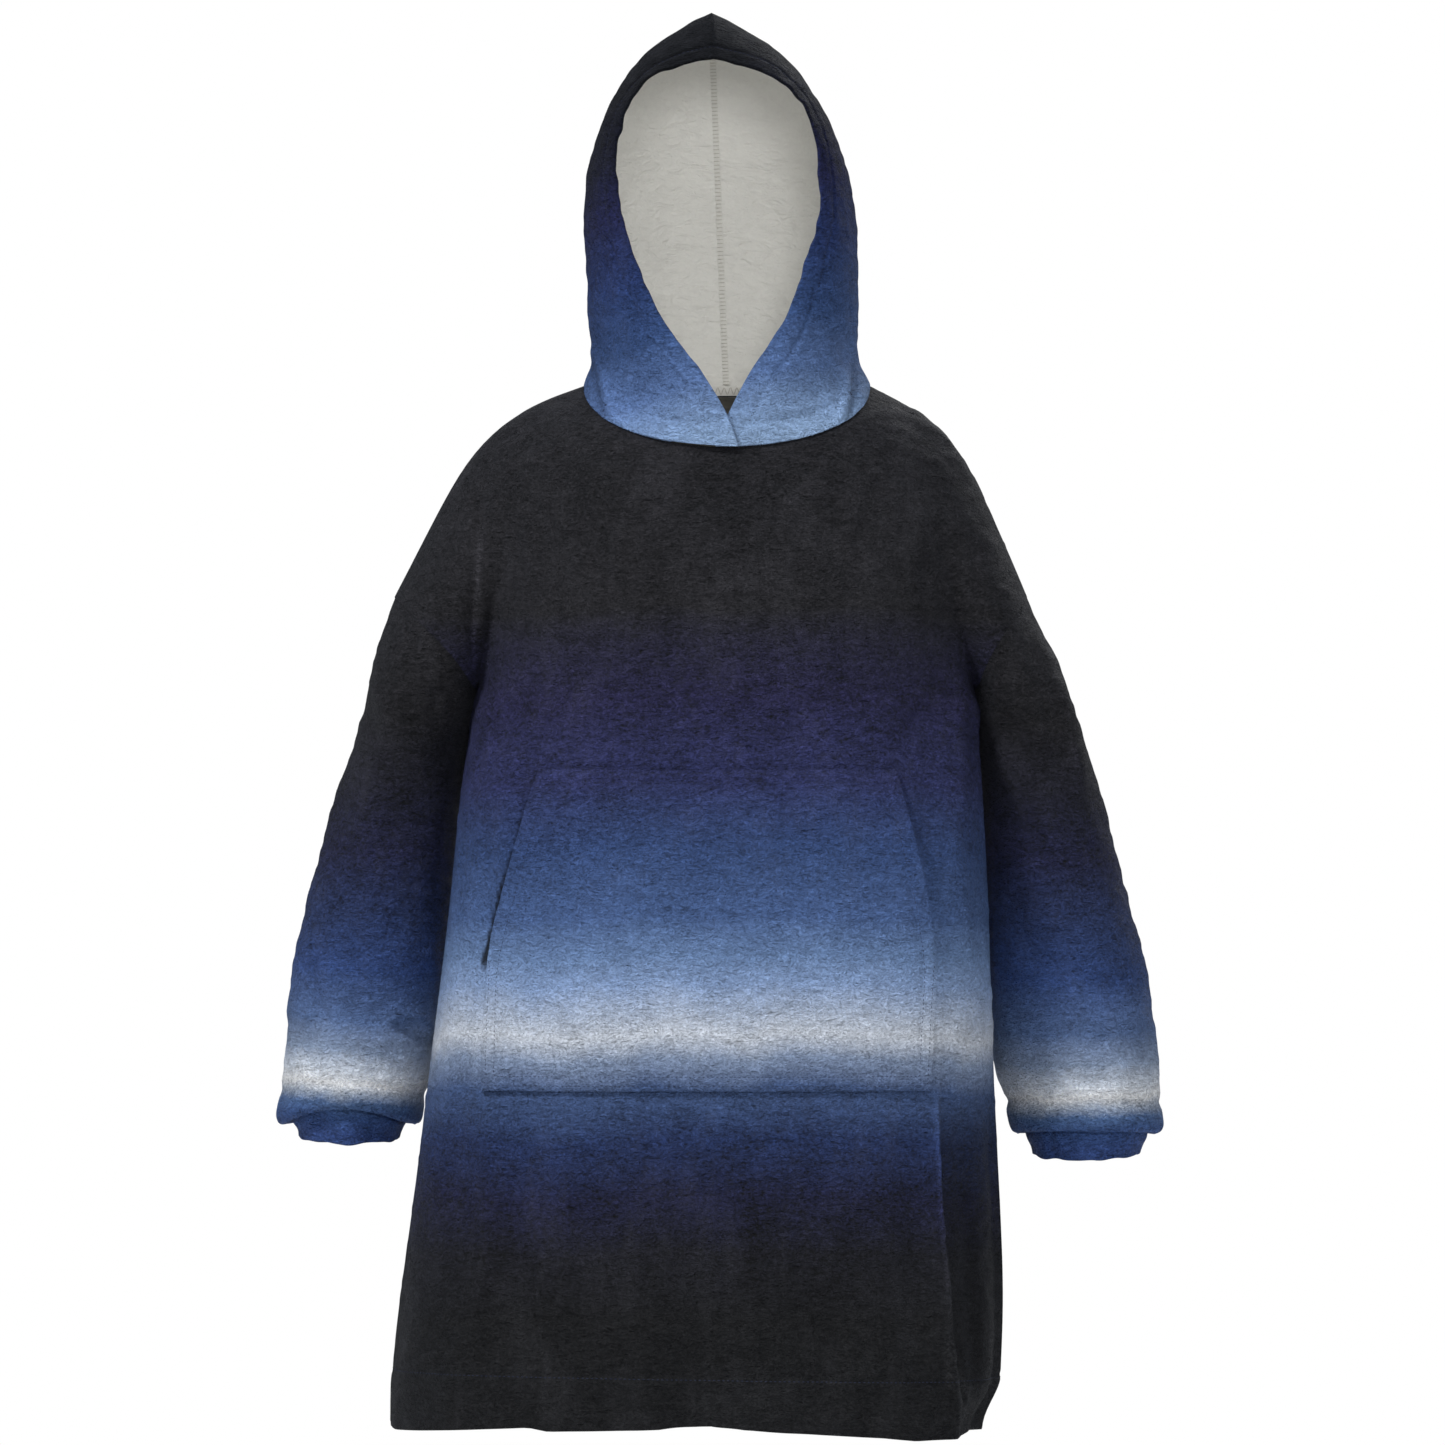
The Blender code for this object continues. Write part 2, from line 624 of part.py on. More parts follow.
def make_cuff(side, parent):
    """A short cuff that comes out of the turned sleeve."""
    name = "cuff_left" if side == VIEWER_LEFT else "cuff_right"
    end = SLEEVE_ENDS[side]
    start = end["lip"] + CUFF_RISE
    rings = []
    for share in np.linspace(0, 1, CUFF_ROWS):
        inset = CUFF_INSET[0] + (CUFF_INSET[1] - CUFF_INSET[0]) * share
        ring = sleeve_ring(side, end["lip"], end["lip"], inset)
        ring[:, 2] = start + (end["cuff_end"] - start) * share
        rings.append(ring)
    make_wall(name, np.array(rings), [], side, "fleece_sleeve", parent, closed=True)


def hood_station(row):
    """Half a section of the hood: from its front edge round the side to the back seam."""
    at = {name: value * MM for name, value in zip(HOOD_COLUMNS, row)}
    turn = math.radians(row[-1])
    front = turn * np.linspace(1, 0, HOOD_FRONT_COLUMNS + 1)
    inward = (1 - np.cos(front)) / (1 - math.cos(turn))
    forward = np.sin(front) / math.sin(turn)
    front_part = np.stack(
        [
            at["side_x"] + (at["edge_x"] - at["side_x"]) * inward,
            at["side_y"] + (at["edge_y"] - at["side_y"]) * forward,
            at["side_z"] + (at["edge_z"] - at["side_z"]) * forward**1.6,
        ],
        axis=-1,
    )
    back = np.linspace(0, math.pi / 2, NECK_COLUMNS + 1)[1:]
    back_part = np.stack(
        [
            at["side_x"] * np.cos(back),
            at["side_y"] + (at["back_y"] - at["side_y"]) * np.sin(back),
            at["side_z"] + (at["back_z"] - at["side_z"]) * np.sin(back) ** 1.6,
        ],
        axis=-1,
    )
    return np.concatenate([front_part, back_part])


def neck_ring(side, grids):
    """The hood's lower edge on one side, just off the neckline of the front and the back."""
    points, normals = [], []
    for facing in (FRONT, BACK):
        grid = grids[facing]
        normal = grid_normals(grid, False, facing)
        middle = grid.shape[1] // 2
        columns = [middle + side * c for c in range(NECK_COLUMNS + 1)]
        points.append(grid[0, columns])
        normals.append(normal[0, columns])
    front, back = points
    crossing = front[1].copy()
    share = -HOOD_CROSSING / abs(front[1][0])
    crossing[0] = front[0][0] + (front[1][0] - front[0][0]) * share
    crossing[1:] = front[0][1:]
    ring = np.concatenate([[crossing], front, back[-2::-1]])
    up = np.concatenate([[normals[0][0]], normals[0], normals[1][-2::-1]])
    radial = ring * np.array([1, 1, 0])
    radial /= np.linalg.norm(radial, axis=1, keepdims=True)
    lean = np.clip((radial * up).sum(axis=1), 0, 1)[:, None]
    return ring + up * (2 * SEAM_GAP + CLOTH * lean)


def through_stations(stations, steps):
    """A smooth curve through each column of the stations, as Catmull and Rom's spline."""
    first = 2 * stations[0] - stations[1]
    last = 2 * stations[-1] - stations[-2]
    padded = [first, *stations, last]
    rows = []
    for a, b, c, d in zip(padded, padded[1:], padded[2:], padded[3:]):
        for t in np.arange(steps) / steps:
            rows.append(
                (2 * b + (c - a) * t + (2 * a - 5 * b + 4 * c - d) * t**2 + (3 * b - a - 3 * c + d) * t**3) / 2
            )
    rows.append(stations[-1])
    return np.array(rows)


def make_hood(side, grids, parent):
    """Half the hood. The half on the viewer's left laps over the other at the chin."""
    name = "hood_left" if side == VIEWER_LEFT else "hood_right"
    stations = [neck_ring(side, grids)]
    for row in HOOD_STATIONS:
        station = hood_station(row)
        station[:, 0] = side * station[:, 0] + HOOD_LEAN * station[:, 2]
        stations.append(station)
    grid = through_stations(stations, HOOD_STEPS)
    if side == VIEWER_LEFT:
        near_centre = ease(np.abs(grid[..., 0]), 75 * MM, 30 * MM)
        near_neck = ease(grid[..., 2], 60 * MM, 10 * MM) * ease(-grid[..., 1], 0, 60 * MM)
        grid[..., 1] -= (CLOTH + 4 * SEAM_GAP) * near_centre * near_neck
    centre = np.zeros_like(grid)
    centre[-1] = centre[:, -1] = np.array([1, 0, -HOOD_LEAN]) / math.hypot(1, HOOD_LEAN)
    make_wall(name, grid, [centre], side, "fleece_hood", parent)


def pocket_half_width(z):
    slant = np.clip((z - POCKET_CORNER) / (POCKET_TOP - POCKET_CORNER), 0, 1)
    return POCKET_BOTTOM_HALF + (POCKET_TOP_HALF - POCKET_BOTTOM_HALF) * slant


def make_pocket(parent):
    """The kangaroo pocket, made from the front's own points and moved out."""
    upper_rows = 2 * POCKET_ROWS // 3
    z = np.concatenate(
        [
            np.linspace(POCKET_TOP, POCKET_CORNER, upper_rows + 1),
            np.linspace(POCKET_CORNER, POCKET_BOTTOM, POCKET_ROWS - upper_rows + 1)[1:],
        ]
    )[:, None]
    across = np.sin(np.linspace(-1, 1, POCKET_COLUMNS + 1) * 1.2)[None, :] / math.sin(1.2)
    x = TORSO.read("middle", z) + POCKET_SHIFT + pocket_half_width(z) * across
    z = z + np.zeros_like(x)
    base = panel_surface(FRONT, x, z)
    normal = grid_normals(base, False, FRONT)
    down = np.clip((POCKET_TOP - z) / (POCKET_TOP - POCKET_CORNER), 0, 1)
    opening = np.sin(math.pi * down) ** 0.7 * np.abs(across) ** 4
    low = np.clip((z - POCKET_BOTTOM) / (POCKET_TOP - POCKET_BOTTOM), 0, 1)
    centre = np.sin(math.pi * low) ** 0.8 * (1 - across**4)
    lift = SEAM_GAP * 2 + POCKET_OPENING_LIFT * opening + POCKET_CENTRE_LIFT * centre
    outer = base + normal * (lift + CLOTH)[..., None]
    inner = base + normal * lift[..., None]
    cloth_piece("pocket", outer, inner, False, "fleece_pocket", parent)


def build():
    clear_scene()
    garment = bpy.data.objects.new("garment", None)
    bpy.context.scene.collection.objects.link(garment)
    make_body(garment)
    grids = {facing: body_panel(facing) for facing in (FRONT, BACK)}
    for side in (VIEWER_LEFT, VIEWER_RIGHT):
        make_sleeve(side, garment)
        make_cuff(side, garment)
        make_hood(side, grids, garment)
    make_pocket(garment)


build()
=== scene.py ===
"""Looks for an oversized pull-on fleece hoodie, filled out as when worn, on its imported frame."""

import math

import bmesh
import bpy
import numpy as np
from mathutils import Matrix, Vector, noise
from mathutils.bvhtree import BVHTree
from mathutils.kdtree import KDTree


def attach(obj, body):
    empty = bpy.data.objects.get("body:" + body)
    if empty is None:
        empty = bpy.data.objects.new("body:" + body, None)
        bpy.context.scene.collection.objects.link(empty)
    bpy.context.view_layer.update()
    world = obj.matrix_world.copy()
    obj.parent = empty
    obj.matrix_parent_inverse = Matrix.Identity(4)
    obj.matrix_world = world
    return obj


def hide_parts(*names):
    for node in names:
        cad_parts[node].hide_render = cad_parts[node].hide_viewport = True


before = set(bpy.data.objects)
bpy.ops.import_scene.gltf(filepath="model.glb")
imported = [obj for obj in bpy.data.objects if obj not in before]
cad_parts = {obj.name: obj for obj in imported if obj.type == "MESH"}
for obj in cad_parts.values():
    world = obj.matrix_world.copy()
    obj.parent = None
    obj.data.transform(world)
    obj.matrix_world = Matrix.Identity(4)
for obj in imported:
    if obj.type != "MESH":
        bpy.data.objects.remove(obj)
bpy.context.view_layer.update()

# Sizes are in metres. The front faces -Y, X runs to the viewer's right and Z runs up.
MM = 0.001
CLOTH = 3 * MM
SHARP = math.radians(60)  # a wall turns by more than this at its narrow ends
SEWN_REACH = 2.4 * MM  # two pieces closer than this are sewn together
SEAM_FADE = 22 * MM  # the folds fade over this distance from a seam
MEETING_SHARE = 0.56  # how much of the gap at a seam each of its two pieces closes
SEAM_WIDTH = 3.5 * MM  # of the groove at a seam
FEW_FACES = 20  # a group of faces smaller than this is no skin of a wall
SOFT_CREASE = 0.45  # of a free end, where 1 is sharp
HOOD_SEED = 9  # both halves of the hood share their swells

# The hem and the pocket, as they are cut.
HEM = -0.925
HEM_SLANT = -0.012  # the hem drops a little towards the viewer's right
HEM_ROW = -0.8695  # height of the hem's stitches at the viewer's left
HEM_ROW_SLANT = -0.0158
POCKET_TOP = -0.332
POCKET_CORNER = -0.505  # height of the lower end of the pocket's slanted edges
POCKET_BOTTOM = -0.618
POCKET_TOP_HALF = 0.158
POCKET_BOTTOM_HALF = 0.199
POCKET_MIDDLE = -0.004

# Marks on the faces of a wall of cloth.
SHOWN = 0
LINING = 1
EDGE = 2

# Folds of the cloth, as soft troughs (depth below 0) and ridges, in millimetres of the front
# view: both ends, how far the middle bows sideways, half the width, and the depth.
FOLD_COLUMNS = "x0 z0 x1 z1 bow width depth".split()
FRONT_FOLDS = [
    # under the neck, where the cloth hangs from the shoulders
    (-150, -60, -96, -300, -14, 15, -2.6),
    (-122, -70, -70, -280, -10, 13, 2.0),
    (-72, -80, -52, -260, -6, 16, -1.6),
    (34, -72, 46, -290, 8, 17, -1.8),
    (88, -66, 84, -250, 10, 13, 1.9),
    (140, -64, 112, -310, 14, 15, -2.8),
    (176, -92, 166, -250, 8, 10, 1.8),
    (-184, -88, -172, -260, -6, 11, 2.0),
    # where the body's sides carry on up over the dropped shoulders
    (-228, -240, -219, -70, -2, 6, -2.6),
    (-219, -230, -210, -90, -2, 6, 1.4),
    (224, -262, 222, -120, 2, 6, -2.4),
    # from the armpits down the sides
    (-206, -262, -170, -420, -12, 13, -3.0),
    (-214, -300, -206, -520, -8, 9, 2.2),
    (200, -262, 182, -430, 10, 13, -3.2),
    (212, -300, 214, -500, 6, 9, 2.2),
    (-196, -250, -118, -322, 12, 12, -2.2),
    (190, -254, 120, -330, -12, 12, -2.2),
    # beside and below the pocket
    (-226, -520, -238, -760, 6, 12, -3.0),
    (-212, -560, -222, -820, -4, 10, 2.4),
    (-178, -640, -196, -900, 8, 16, -3.4),
    (-150, -650, -160, -915, -6, 13, 2.6),
    (-104, -640, -122, -880, 10, 18, -2.6),
    (-64, -650, -60, -925, 4, 14, 1.8),
    (-20, -690, -16, -930, 3, 13, -2.6),
    (30, -645, 38, -925, -6, 15, 1.8),
    (78, -650, 92, -900, 8, 17, -2.4),
    (128, -645, 146, -925, -8, 14, 2.6),
    (162, -640, 178, -925, 4, 12, -2.0),
    (232, -620, 246, -900, 6, 10, 3.0),
    (214, -700, 226, -880, -5, 7, -2.6),
    (200, -842, 214, -925, 4, 6, 2.6),
    (230, -836, 238, -925, 3, 6, -2.8),
    (-236, -830, -248, -925, 3, 9, 2.4),
    (-90, -880, -98, -932, 0, 10, -2.4),
    (66, -884, 70, -932, 0, 10, -2.2),
]
BACK_FOLDS = [
    (-128, -30, -78, -260, -10, 17, -2.8),
    (-96, -44, -30, -300, -12, 15, 2.2),
    (-30, -40, -14, -330, 0, 19, -2.4),
    (44, -40, 30, -310, 8, 16, 2.0),
    (104, -36, 76, -270, 10, 17, -2.8),
    (150, -60, 120, -330, 14, 14, 2.2),
    (-168, -84, -146, -330, -8, 14, -2.6),
    (180, -90, 166, -330, 8, 13, -2.6),
    (-204, -262, -186, -560, -10, 13, -3.2),
    (200, -262, 186, -560, 10, 13, -3.2),
    (-150, -340, -168, -700, 8, 20, 3.4),
    (-116, -360, -128, -925, 10, 17, -3.2),
    (-62, -330, -70, -925, -10, 20, 2.8),
    (6, -340, -4, -925, 12, 17, -3.0),
    (52, -360, 64, -900, -8, 18, 2.8),
    (112, -350, 122, -925, 10, 16, -3.2),
    (160, -400, 170, -760, -8, 17, 3.0),
    (-212, -620, -226, -925, 4, 12, -2.8),
    (214, -640, 226, -925, -6, 12, -2.8),
    (-184, -760, -190, -925, 0, 12, 2.4),
    (186, -780, 194, -925, 0, 12, 2.4),
    (-30, -800, -34, -932, 0, 10, -2.2),
    (38, -790, 34, -932, 0, 10, 2.0),
]
# On the sleeves the same table serves front and back, so the folds run round the arm.
SLEEVE_LEFT_FOLDS = [
    (-300, -190, -244, -284, -10, 11, -3.0),
    (-322, -240, -248, -318, 12, 10, 2.2),
    (-330, -262, -252, -356, 14, 12, -3.2),
    (-352, -330, -262, -420, 16, 13, 2.2),
    (-306, -212, -330, -420, -10, 12, 2.4),
    (-356, -400, -276, -476, 14, 14, -2.6),
    (-372, -452, -284, -520, 12, 12, 1.8),
    (-394, -520, -300, -560, 10, 10, -3.0),
    (-398, -548, -296, -580, 8, 9, 2.2),
    (-262, -586, -300, -562, 3, 6, -5.0),
    (-266, -566, -300, -548, 3, 7, 2.6),
    (-366, -600, -370, -640, 4, 8, -2.0),
    (-318, -600, -316, -640, -4, 8, -2.0),
]
SLEEVE_RIGHT_FOLDS = [
    (282, -198, 318, -358, -6, 9, 3.6),
    (268, -204, 298, -380, -8, 10, -3.4),
    (248, -262, 300, -340, 12, 10, -2.4),
    (236, -290, 312, -392, 14, 12, 2.2),
    (242, -340, 330, -446, 16, 13, -2.8),
    (250, -420, 352, -500, 12, 13, 2.2),
    (258, -480, 372, -536, 12, 12, -2.8),
    (262, -520, 384, -560, 10, 9, 2.6),
    (252, -552, 386, -586, 8, 9, -3.0),
    (254, -582, 390, -604, 6, 8, 2.2),
    (250, -606, 276, -640, 4, 7, -2.4),
    (324, -610, 328, -645, -4, 8, -2.0),
    (352, -604, 358, -645, 4, 8, 2.0),
]
HOOD_FOLDS = [
    (-112, 20, -60, 96, -16, 10, -2.6),
    (-98, -6, -30, 44, -12, 9, 2.2),
    (-120, 60, -84, 190, -8, 12, 1.8),
    (108, 16, 58, 92, 14, 10, -2.6),
    (96, -8, 34, 40, 10, 9, 2.2),
    (114, 60, 82, 190, 8, 12, 1.8),
    (-92, 210, -40, 300, -12, 14, -2.0),
    (76, 220, 28, 304, 12, 14, -1.8),
]
# The outer flaps at the neck, behind a short fold on each side. These reach the neck seam. Their
# troughs also get painted shade and their ridges a painted highlight.
HOOD_FLAPS = [
    (-123, 36, -107, -30, 2, 4, -3.8),
    (-112, 30, -98, -24, 2, 5, 1.8),
    (117, 40, 109, -32, -2, 4, -3.8),
    (107, 34, 99, -26, -2, 5, 1.8),
]
CUFF_FOLDS = [
    (-366, -640, -366, -680, 0, 6, -2.2),
    (-342, -640, -340, -680, 0, 7, 2.0),
    (-316, -640, -318, -680, 0, 6, -2.4),
    (290, -650, 290, -700, 0, 6, -2.2),
    (318, -650, 320, -700, 0, 7, 2.0),
    (346, -650, 344, -700, 0, 6, -2.4),
]
POCKET_FOLDS = [
    (-150, -352, -96, -420, 8, 12, -1.6),
    (-60, -340, -48, -460, 4, 16, 1.4),
    (20, -340, 26, -440, -4, 15, -1.4),
    (96, -344, 88, -450, 6, 14, 1.5),
    (-176, -500, -120, -560, 8, 13, 1.6),
    (-90, -520, -96, -606, 4, 14, -1.6),
    (-20, -500, -16, -606, 3, 13, 1.4),
    (60, -510, 64, -606, -4, 14, -1.6),
    (128, -480, 140, -600, 5, 12, 1.6),
]

# Creases painted paler along their ridges, as painted highlights: their depth is how much paler.
# The first is where the right sleeve bends. The others run up the left shoulder and over the hem's
# right corner.
SLEEVE_CREASE_HIGHLIGHT = [(281, -201, 315, -353, -4, 2.4, 0.7)]
PAINTED_CREASE_HIGHLIGHTS = [
    (-227, -262, -221, -110, -1, 2.4, 0.34),
    (196, -838, 199, -882, 1, 2.4, 0.9),
    (210, -846, 226, -888, 3, 2.2, 0.7),
    (200, -884, 232, -914, -3, 2.4, 0.8),
    (212, -874, 244, -906, 2, 2.2, 0.6),
]

# For each piece of cloth: its folds, how far its swells and its crumples stand, in
# millimetres, how often it is subdivided, its cut size, the area of that cut in square
# metres, how it is held, and the pieces that it hangs from or lies on.
CLOTH_PIECES = {
    "front": (FRONT_FOLDS, 1.8, 0.9, 2, (0.80, 0.96), 0.660, "hung", ("back_fleece",)),
    "back": (BACK_FOLDS, 2.2, 0.9, 2, (0.80, 0.96), 0.630, "hung", ("front_fleece",)),
    "sleeve_left": (SLEEVE_LEFT_FOLDS, 2.0, 0.8, 3, (0.46, 0.53), 0.200, "gathered", ()),
    "sleeve_right": (SLEEVE_RIGHT_FOLDS, 2.0, 0.8, 3, (0.46, 0.54), 0.205, "gathered", ()),
    "cuff_left": (CUFF_FOLDS, 0.8, 0.5, 3, (0.29, 0.055), None, "gathered", ()),
    "cuff_right": (CUFF_FOLDS, 0.8, 0.5, 3, (0.31, 0.060), None, "gathered", ()),
    "hood_left": (HOOD_FOLDS, 1.6, 0.6, 3, (0.29, 0.44), 0.118, "hung", ()),
    "hood_right": (HOOD_FOLDS, 1.6, 0.6, 3, (0.29, 0.44), 0.118, "hung", ()),
    "pocket": (POCKET_FOLDS, 0.9, 0.6, 3, (0.41, 0.31), 0.114, "laid", ("front_fleece",)),
}


def ease(value, start, end):
    """0 before start, 1 after end, and a smooth step between them."""
    t = np.clip((value - start) / (end - start), 0, 1)
    return t * t * (3 - 2 * t)


def bell(value, width):
    """1 at 0, falling softly to nothing at about two widths from it."""
    return np.exp(-((value / width) ** 2))


def fold_relief(rows, points):
    """How far a table of folds moves the cloth at each point, in metres."""
    x, z = points[:, 0], points[:, 2]
    total = np.zeros(len(points))
    for row in rows:
        fold = {name: value * MM for name, value in zip(FOLD_COLUMNS, row)}
        run_x = fold["x1"] - fold["x0"]
        run_z = fold["z1"] - fold["z0"]
        length = math.hypot(run_x, run_z)
        off_x = x - fold["x0"]
        off_z = z - fold["z0"]
        place = (off_x * run_x + off_z * run_z) / length**2
        inside = np.clip(place, 0, 1)
        across = (off_x * run_z - off_z * run_x) / length
        across = across - fold["bow"] * 4 * inside * (1 - inside)
        width = fold["width"] * (0.75 + 0.5 * inside)
        taper = ease(place, -0.12, 0.25) * ease(-place, -1.12, -0.8)
        total += fold["depth"] * taper * bell(across, width)
    return total


def swells(points, size, seed, flat=1.0):
    """Uneven lumps from -1 to 1, of about the given size, flat times as high as wide."""
    scale = np.array([1 / size, 1 / size, 1 / (size * flat)])
    moved = points * scale + np.array([seed * 7.3, seed * 3.1, seed * 5.7])
    return np.array([noise.noise(Vector(place)) for place in moved])


def merged_mesh(node):
    """A copy of a node's mesh, with its loose triangles merged."""
    mesh = bmesh.new()
    mesh.from_mesh(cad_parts[node].data)
    bmesh.ops.remove_doubles(mesh, verts=mesh.verts, dist=1e-5)
    return mesh


def connected_faces(faces):
    """Splits faces into groups that meet at gentle edges, the largest area first."""
    waiting = set(faces)
    groups = []
    while waiting:
        spread = [waiting.pop()]
        group = []
        while spread:
            face = spread.pop()
            group.append(face)
            for edge in face.edges:
                for beside in edge.link_faces:
                    if beside in waiting and edge.calc_face_angle(0) < SHARP:
                        waiting.remove(beside)
                        spread.append(beside)
        groups.append(group)
    return sorted(groups, key=lambda group: -sum(face.calc_area() for face in group))


def is_outside(node, skin, own_middle):
    """Whether a skin faces away from the middle of what it goes round."""
    outward = 0
    for face in skin:
        centre = face.calc_center_median()
        limb = node.startswith(("sleeve", "cuff"))
        middle = own_middle if limb else Vector((0, 0, centre.z))
        outward += face.calc_area() * face.normal.dot(centre - middle)
    return outward > 0


def mark_skins(mesh, node):
    """Numbers the faces of a wall SHOWN, LINING, or EDGE on its narrow ends, and makes quads.

    Behind a face of a skin the other skin is one thickness away, and behind an end it isn't."""
    wall = BVHTree.FromBMesh(mesh)
    thin = []
    for face in mesh.faces:
        face.material_index = EDGE
        inward = -face.normal
        start = face.calc_center_median() + inward * 0.2 * MM
        place, normal = wall.ray_cast(start, inward, 1.9 * CLOTH)[:2]
        if place is not None and normal.dot(inward) > 0.7:
            thin.append(face)
    skins = connected_faces(thin)
    middle = sum((vert.co for vert in mesh.verts), Vector()) / len(mesh.verts)
    for skin in skins[:2]:
        mark = SHOWN if is_outside(node, skin, middle) else LINING
        for face in skin:
            face.material_index = mark
    for skin in skins[2:]:
        beside = [f.material_index for face in skin for e in face.edges for f in e.link_faces]
        beside = [mark for mark in beside if mark != EDGE]
        if len(skin) < FEW_FACES or not beside:
            continue
        for face in skin:
            face.material_index = max(set(beside), key=beside.count)
    bmesh.ops.join_triangles(
        mesh,
        faces=mesh.faces,
        cmp_materials=True,
        angle_face_threshold=math.radians(60),
        angle_shape_threshold=math.radians(100),
    )


def crease_ends(mesh, others):
    """Keeps the sewn ends of a wall sharp, so they meet, and the free ones a little soft."""
    crease = mesh.edges.layers.float.new("crease_edge")
    for edge in mesh.edges:
        marks = {face.material_index for face in edge.link_faces}
        corner = marks == {EDGE} and edge.calc_face_angle(0) > math.radians(35)
        if len(marks) < 2 and not corner:
            continue
        middle = (edge.verts[0].co + edge.verts[1].co) / 2
        sewn = others.find_nearest(middle, 2 * SEWN_REACH)[0] is not None
        edge[crease] = 1.0 if sewn or corner else SOFT_CREASE


def add_piece(name, mesh):
    """Makes a piece of the scene from a bmesh, and has it ride on the hoodie."""
    data = bpy.data.meshes.new(name)
    mesh.to_mesh(data)
    mesh.free()
    piece = bpy.data.objects.new(name, data)
    bpy.context.scene.collection.objects.link(piece)
    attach(piece, "root")
    return piece


def smooth_shaded(piece):
    """Shades a piece without showing its faces."""
    for face in piece.data.polygons:
        face.use_smooth = True


def subdivided(piece, level):
    """Smooths a piece with a Subdivision Surface and keeps the result as its mesh."""
    smooth = piece.modifiers.new("smooth", "SUBSURF")
    smooth.levels = level
    smooth.render_levels = level
    graph = bpy.context.evaluated_depsgraph_get()
    finer = bpy.data.meshes.new_from_object(piece.evaluated_get(graph))
    piece.modifiers.clear()
    piece.data = finer
    finer.name = piece.name
    smooth_shaded(piece)


def finer_shown_side(piece):
    """Divides the shown side of a large panel once more, where its folds need it."""
    mesh = bmesh.new()
    mesh.from_mesh(piece.data)
    inside = [
        edge
        for edge in mesh.edges
        if all(face.material_index == SHOWN for face in edge.link_faces)
    ]
    bmesh.ops.subdivide_edges(mesh, edges=inside, cuts=1, use_grid_fill=True)
    mesh.to_mesh(piece.data)
    mesh.free()
    smooth_shaded(piece)


def points_of(mesh):
    """The points of a mesh as rows of x, y and z."""
    points = np.empty(len(mesh.vertices) * 3)
    mesh.vertices.foreach_get("co", points)
    return points.reshape(-1, 3)


def corners_of(mesh):
    """For each face corner of a mesh, its point and its face."""
    corners = np.empty(len(mesh.loops), dtype=np.int32)
    mesh.loops.foreach_get("vertex_index", corners)
    totals = np.empty(len(mesh.polygons), dtype=np.int32)
    mesh.polygons.foreach_get("loop_total", totals)
    return corners, np.repeat(np.arange(len(totals)), totals)


def face_values(mesh, name, width=1, kind=float):
    """One value or vector for each face of a mesh."""
    values = np.empty(len(mesh.polygons) * width, dtype=kind)
    mesh.polygons.foreach_get(name, values)
    return values.reshape(-1, width) if width > 1 else values


def tree_of(points):
    """A search tree over points."""
    tree = KDTree(len(points))
    for index, point in enumerate(points):
        tree.insert(point, index)
    tree.balance()
    return tree


def distances(points, tree):
    """How far each point is from the nearest one in a search tree."""
    return np.array([tree.find(point)[2] for point in points])


def surface_of(*meshes):
    """A search tree over the faces of meshes."""
    places = []
    faces = []
    for mesh in meshes:
        start = len(places)
        places += [vert.co.copy() for vert in mesh.vertices]
        faces += [[start + index for index in face.vertices] for face in mesh.polygons]
    return BVHTree.FromPolygons(places, faces)


def wall_normals(mesh):
    """Each point's direction away from the lining side, and which points are on the shown side."""
    points = points_of(mesh)
    corners, owners = corners_of(mesh)
    normals = face_values(mesh, "normal", 3)
    areas = face_values(mesh, "area")
    marks = face_values(mesh, "material_index", kind=np.int32)
    outward = np.zeros_like(points)
    shown = np.zeros(len(points), dtype=bool)
    for mark, turn in ((LINING, -1), (SHOWN, 1)):
        chosen = marks[owners] == mark
        total = np.zeros_like(points)
        weighted = normals[owners[chosen]] * areas[owners[chosen], None]
        np.add.at(total, corners[chosen], weighted * turn)
        size = np.linalg.norm(total, axis=1)
        found = size > 0
        outward[found] = total[found] / size[found, None]
        if mark == SHOWN:
            shown = found
    bare = np.linalg.norm(outward, axis=1) < 0.5
    near = tree_of(points[~bare])
    known = outward[~bare]
    for index in np.flatnonzero(bare):
        outward[index] = known[near.find(points[index])[1]]
    return outward, shown


def end_points(mesh):
    """The indices of the points at the narrow ends of a wall."""
    corners, owners = corners_of(mesh)
    marks = face_values(mesh, "material_index", kind=np.int32)
    return np.unique(corners[marks[owners] == EDGE])


def pocket_half(z):
    """Half the pocket's width at a height."""
    return np.interp(z, (POCKET_CORNER, POCKET_TOP), (POCKET_BOTTOM_HALF, POCKET_TOP_HALF))


def above_hem_row(points):
    """How far a point is above the row of stitches of the hem."""
    return points[:, 2] - HEM_ROW - HEM_ROW_SLANT * (points[:, 0] + 0.30)


def beside_pocket(points):
    """How far a point is outside the pocket's slanted edge on the left, in the front view."""
    heights = (-0.51, -0.50, -0.46, -0.42, -0.38, -0.335)
    edge = np.interp(points[:, 2], heights, (-0.214, -0.213, -0.2055, -0.1945, -0.1835, -0.169))
    return edge - points[:, 0]


def pocket_cover(points):
    """1 under the pocket and 0 away from it."""
    x, z = points[:, 0] - POCKET_MIDDLE, points[:, 2]
    inside_x = ease(pocket_half(z) + 0.004 - np.abs(x), 0, 0.012)
    inside_z = ease(z, POCKET_BOTTOM - 0.022, POCKET_BOTTOM) * ease(-z, 0.314, -POCKET_TOP)
    return inside_x * inside_z


def hollow_by_pocket(points):
    """The hollow in the front beside the pocket's left opening, which gapes a little."""
    z = points[:, 2]
    along = ease(z, -0.512, -0.470) * ease(-z, 0.330, 0.380)
    return -5.0 * MM * along * bell(beside_pocket(points) - 0.001, 0.0065)


def side_line(z):
    """Where the front's long fold on the right runs."""
    return np.interp(-z, (0.540, 0.621, 0.720, 0.837, 0.900), (0.184, 0.187, 0.192, 0.201, 0.210))


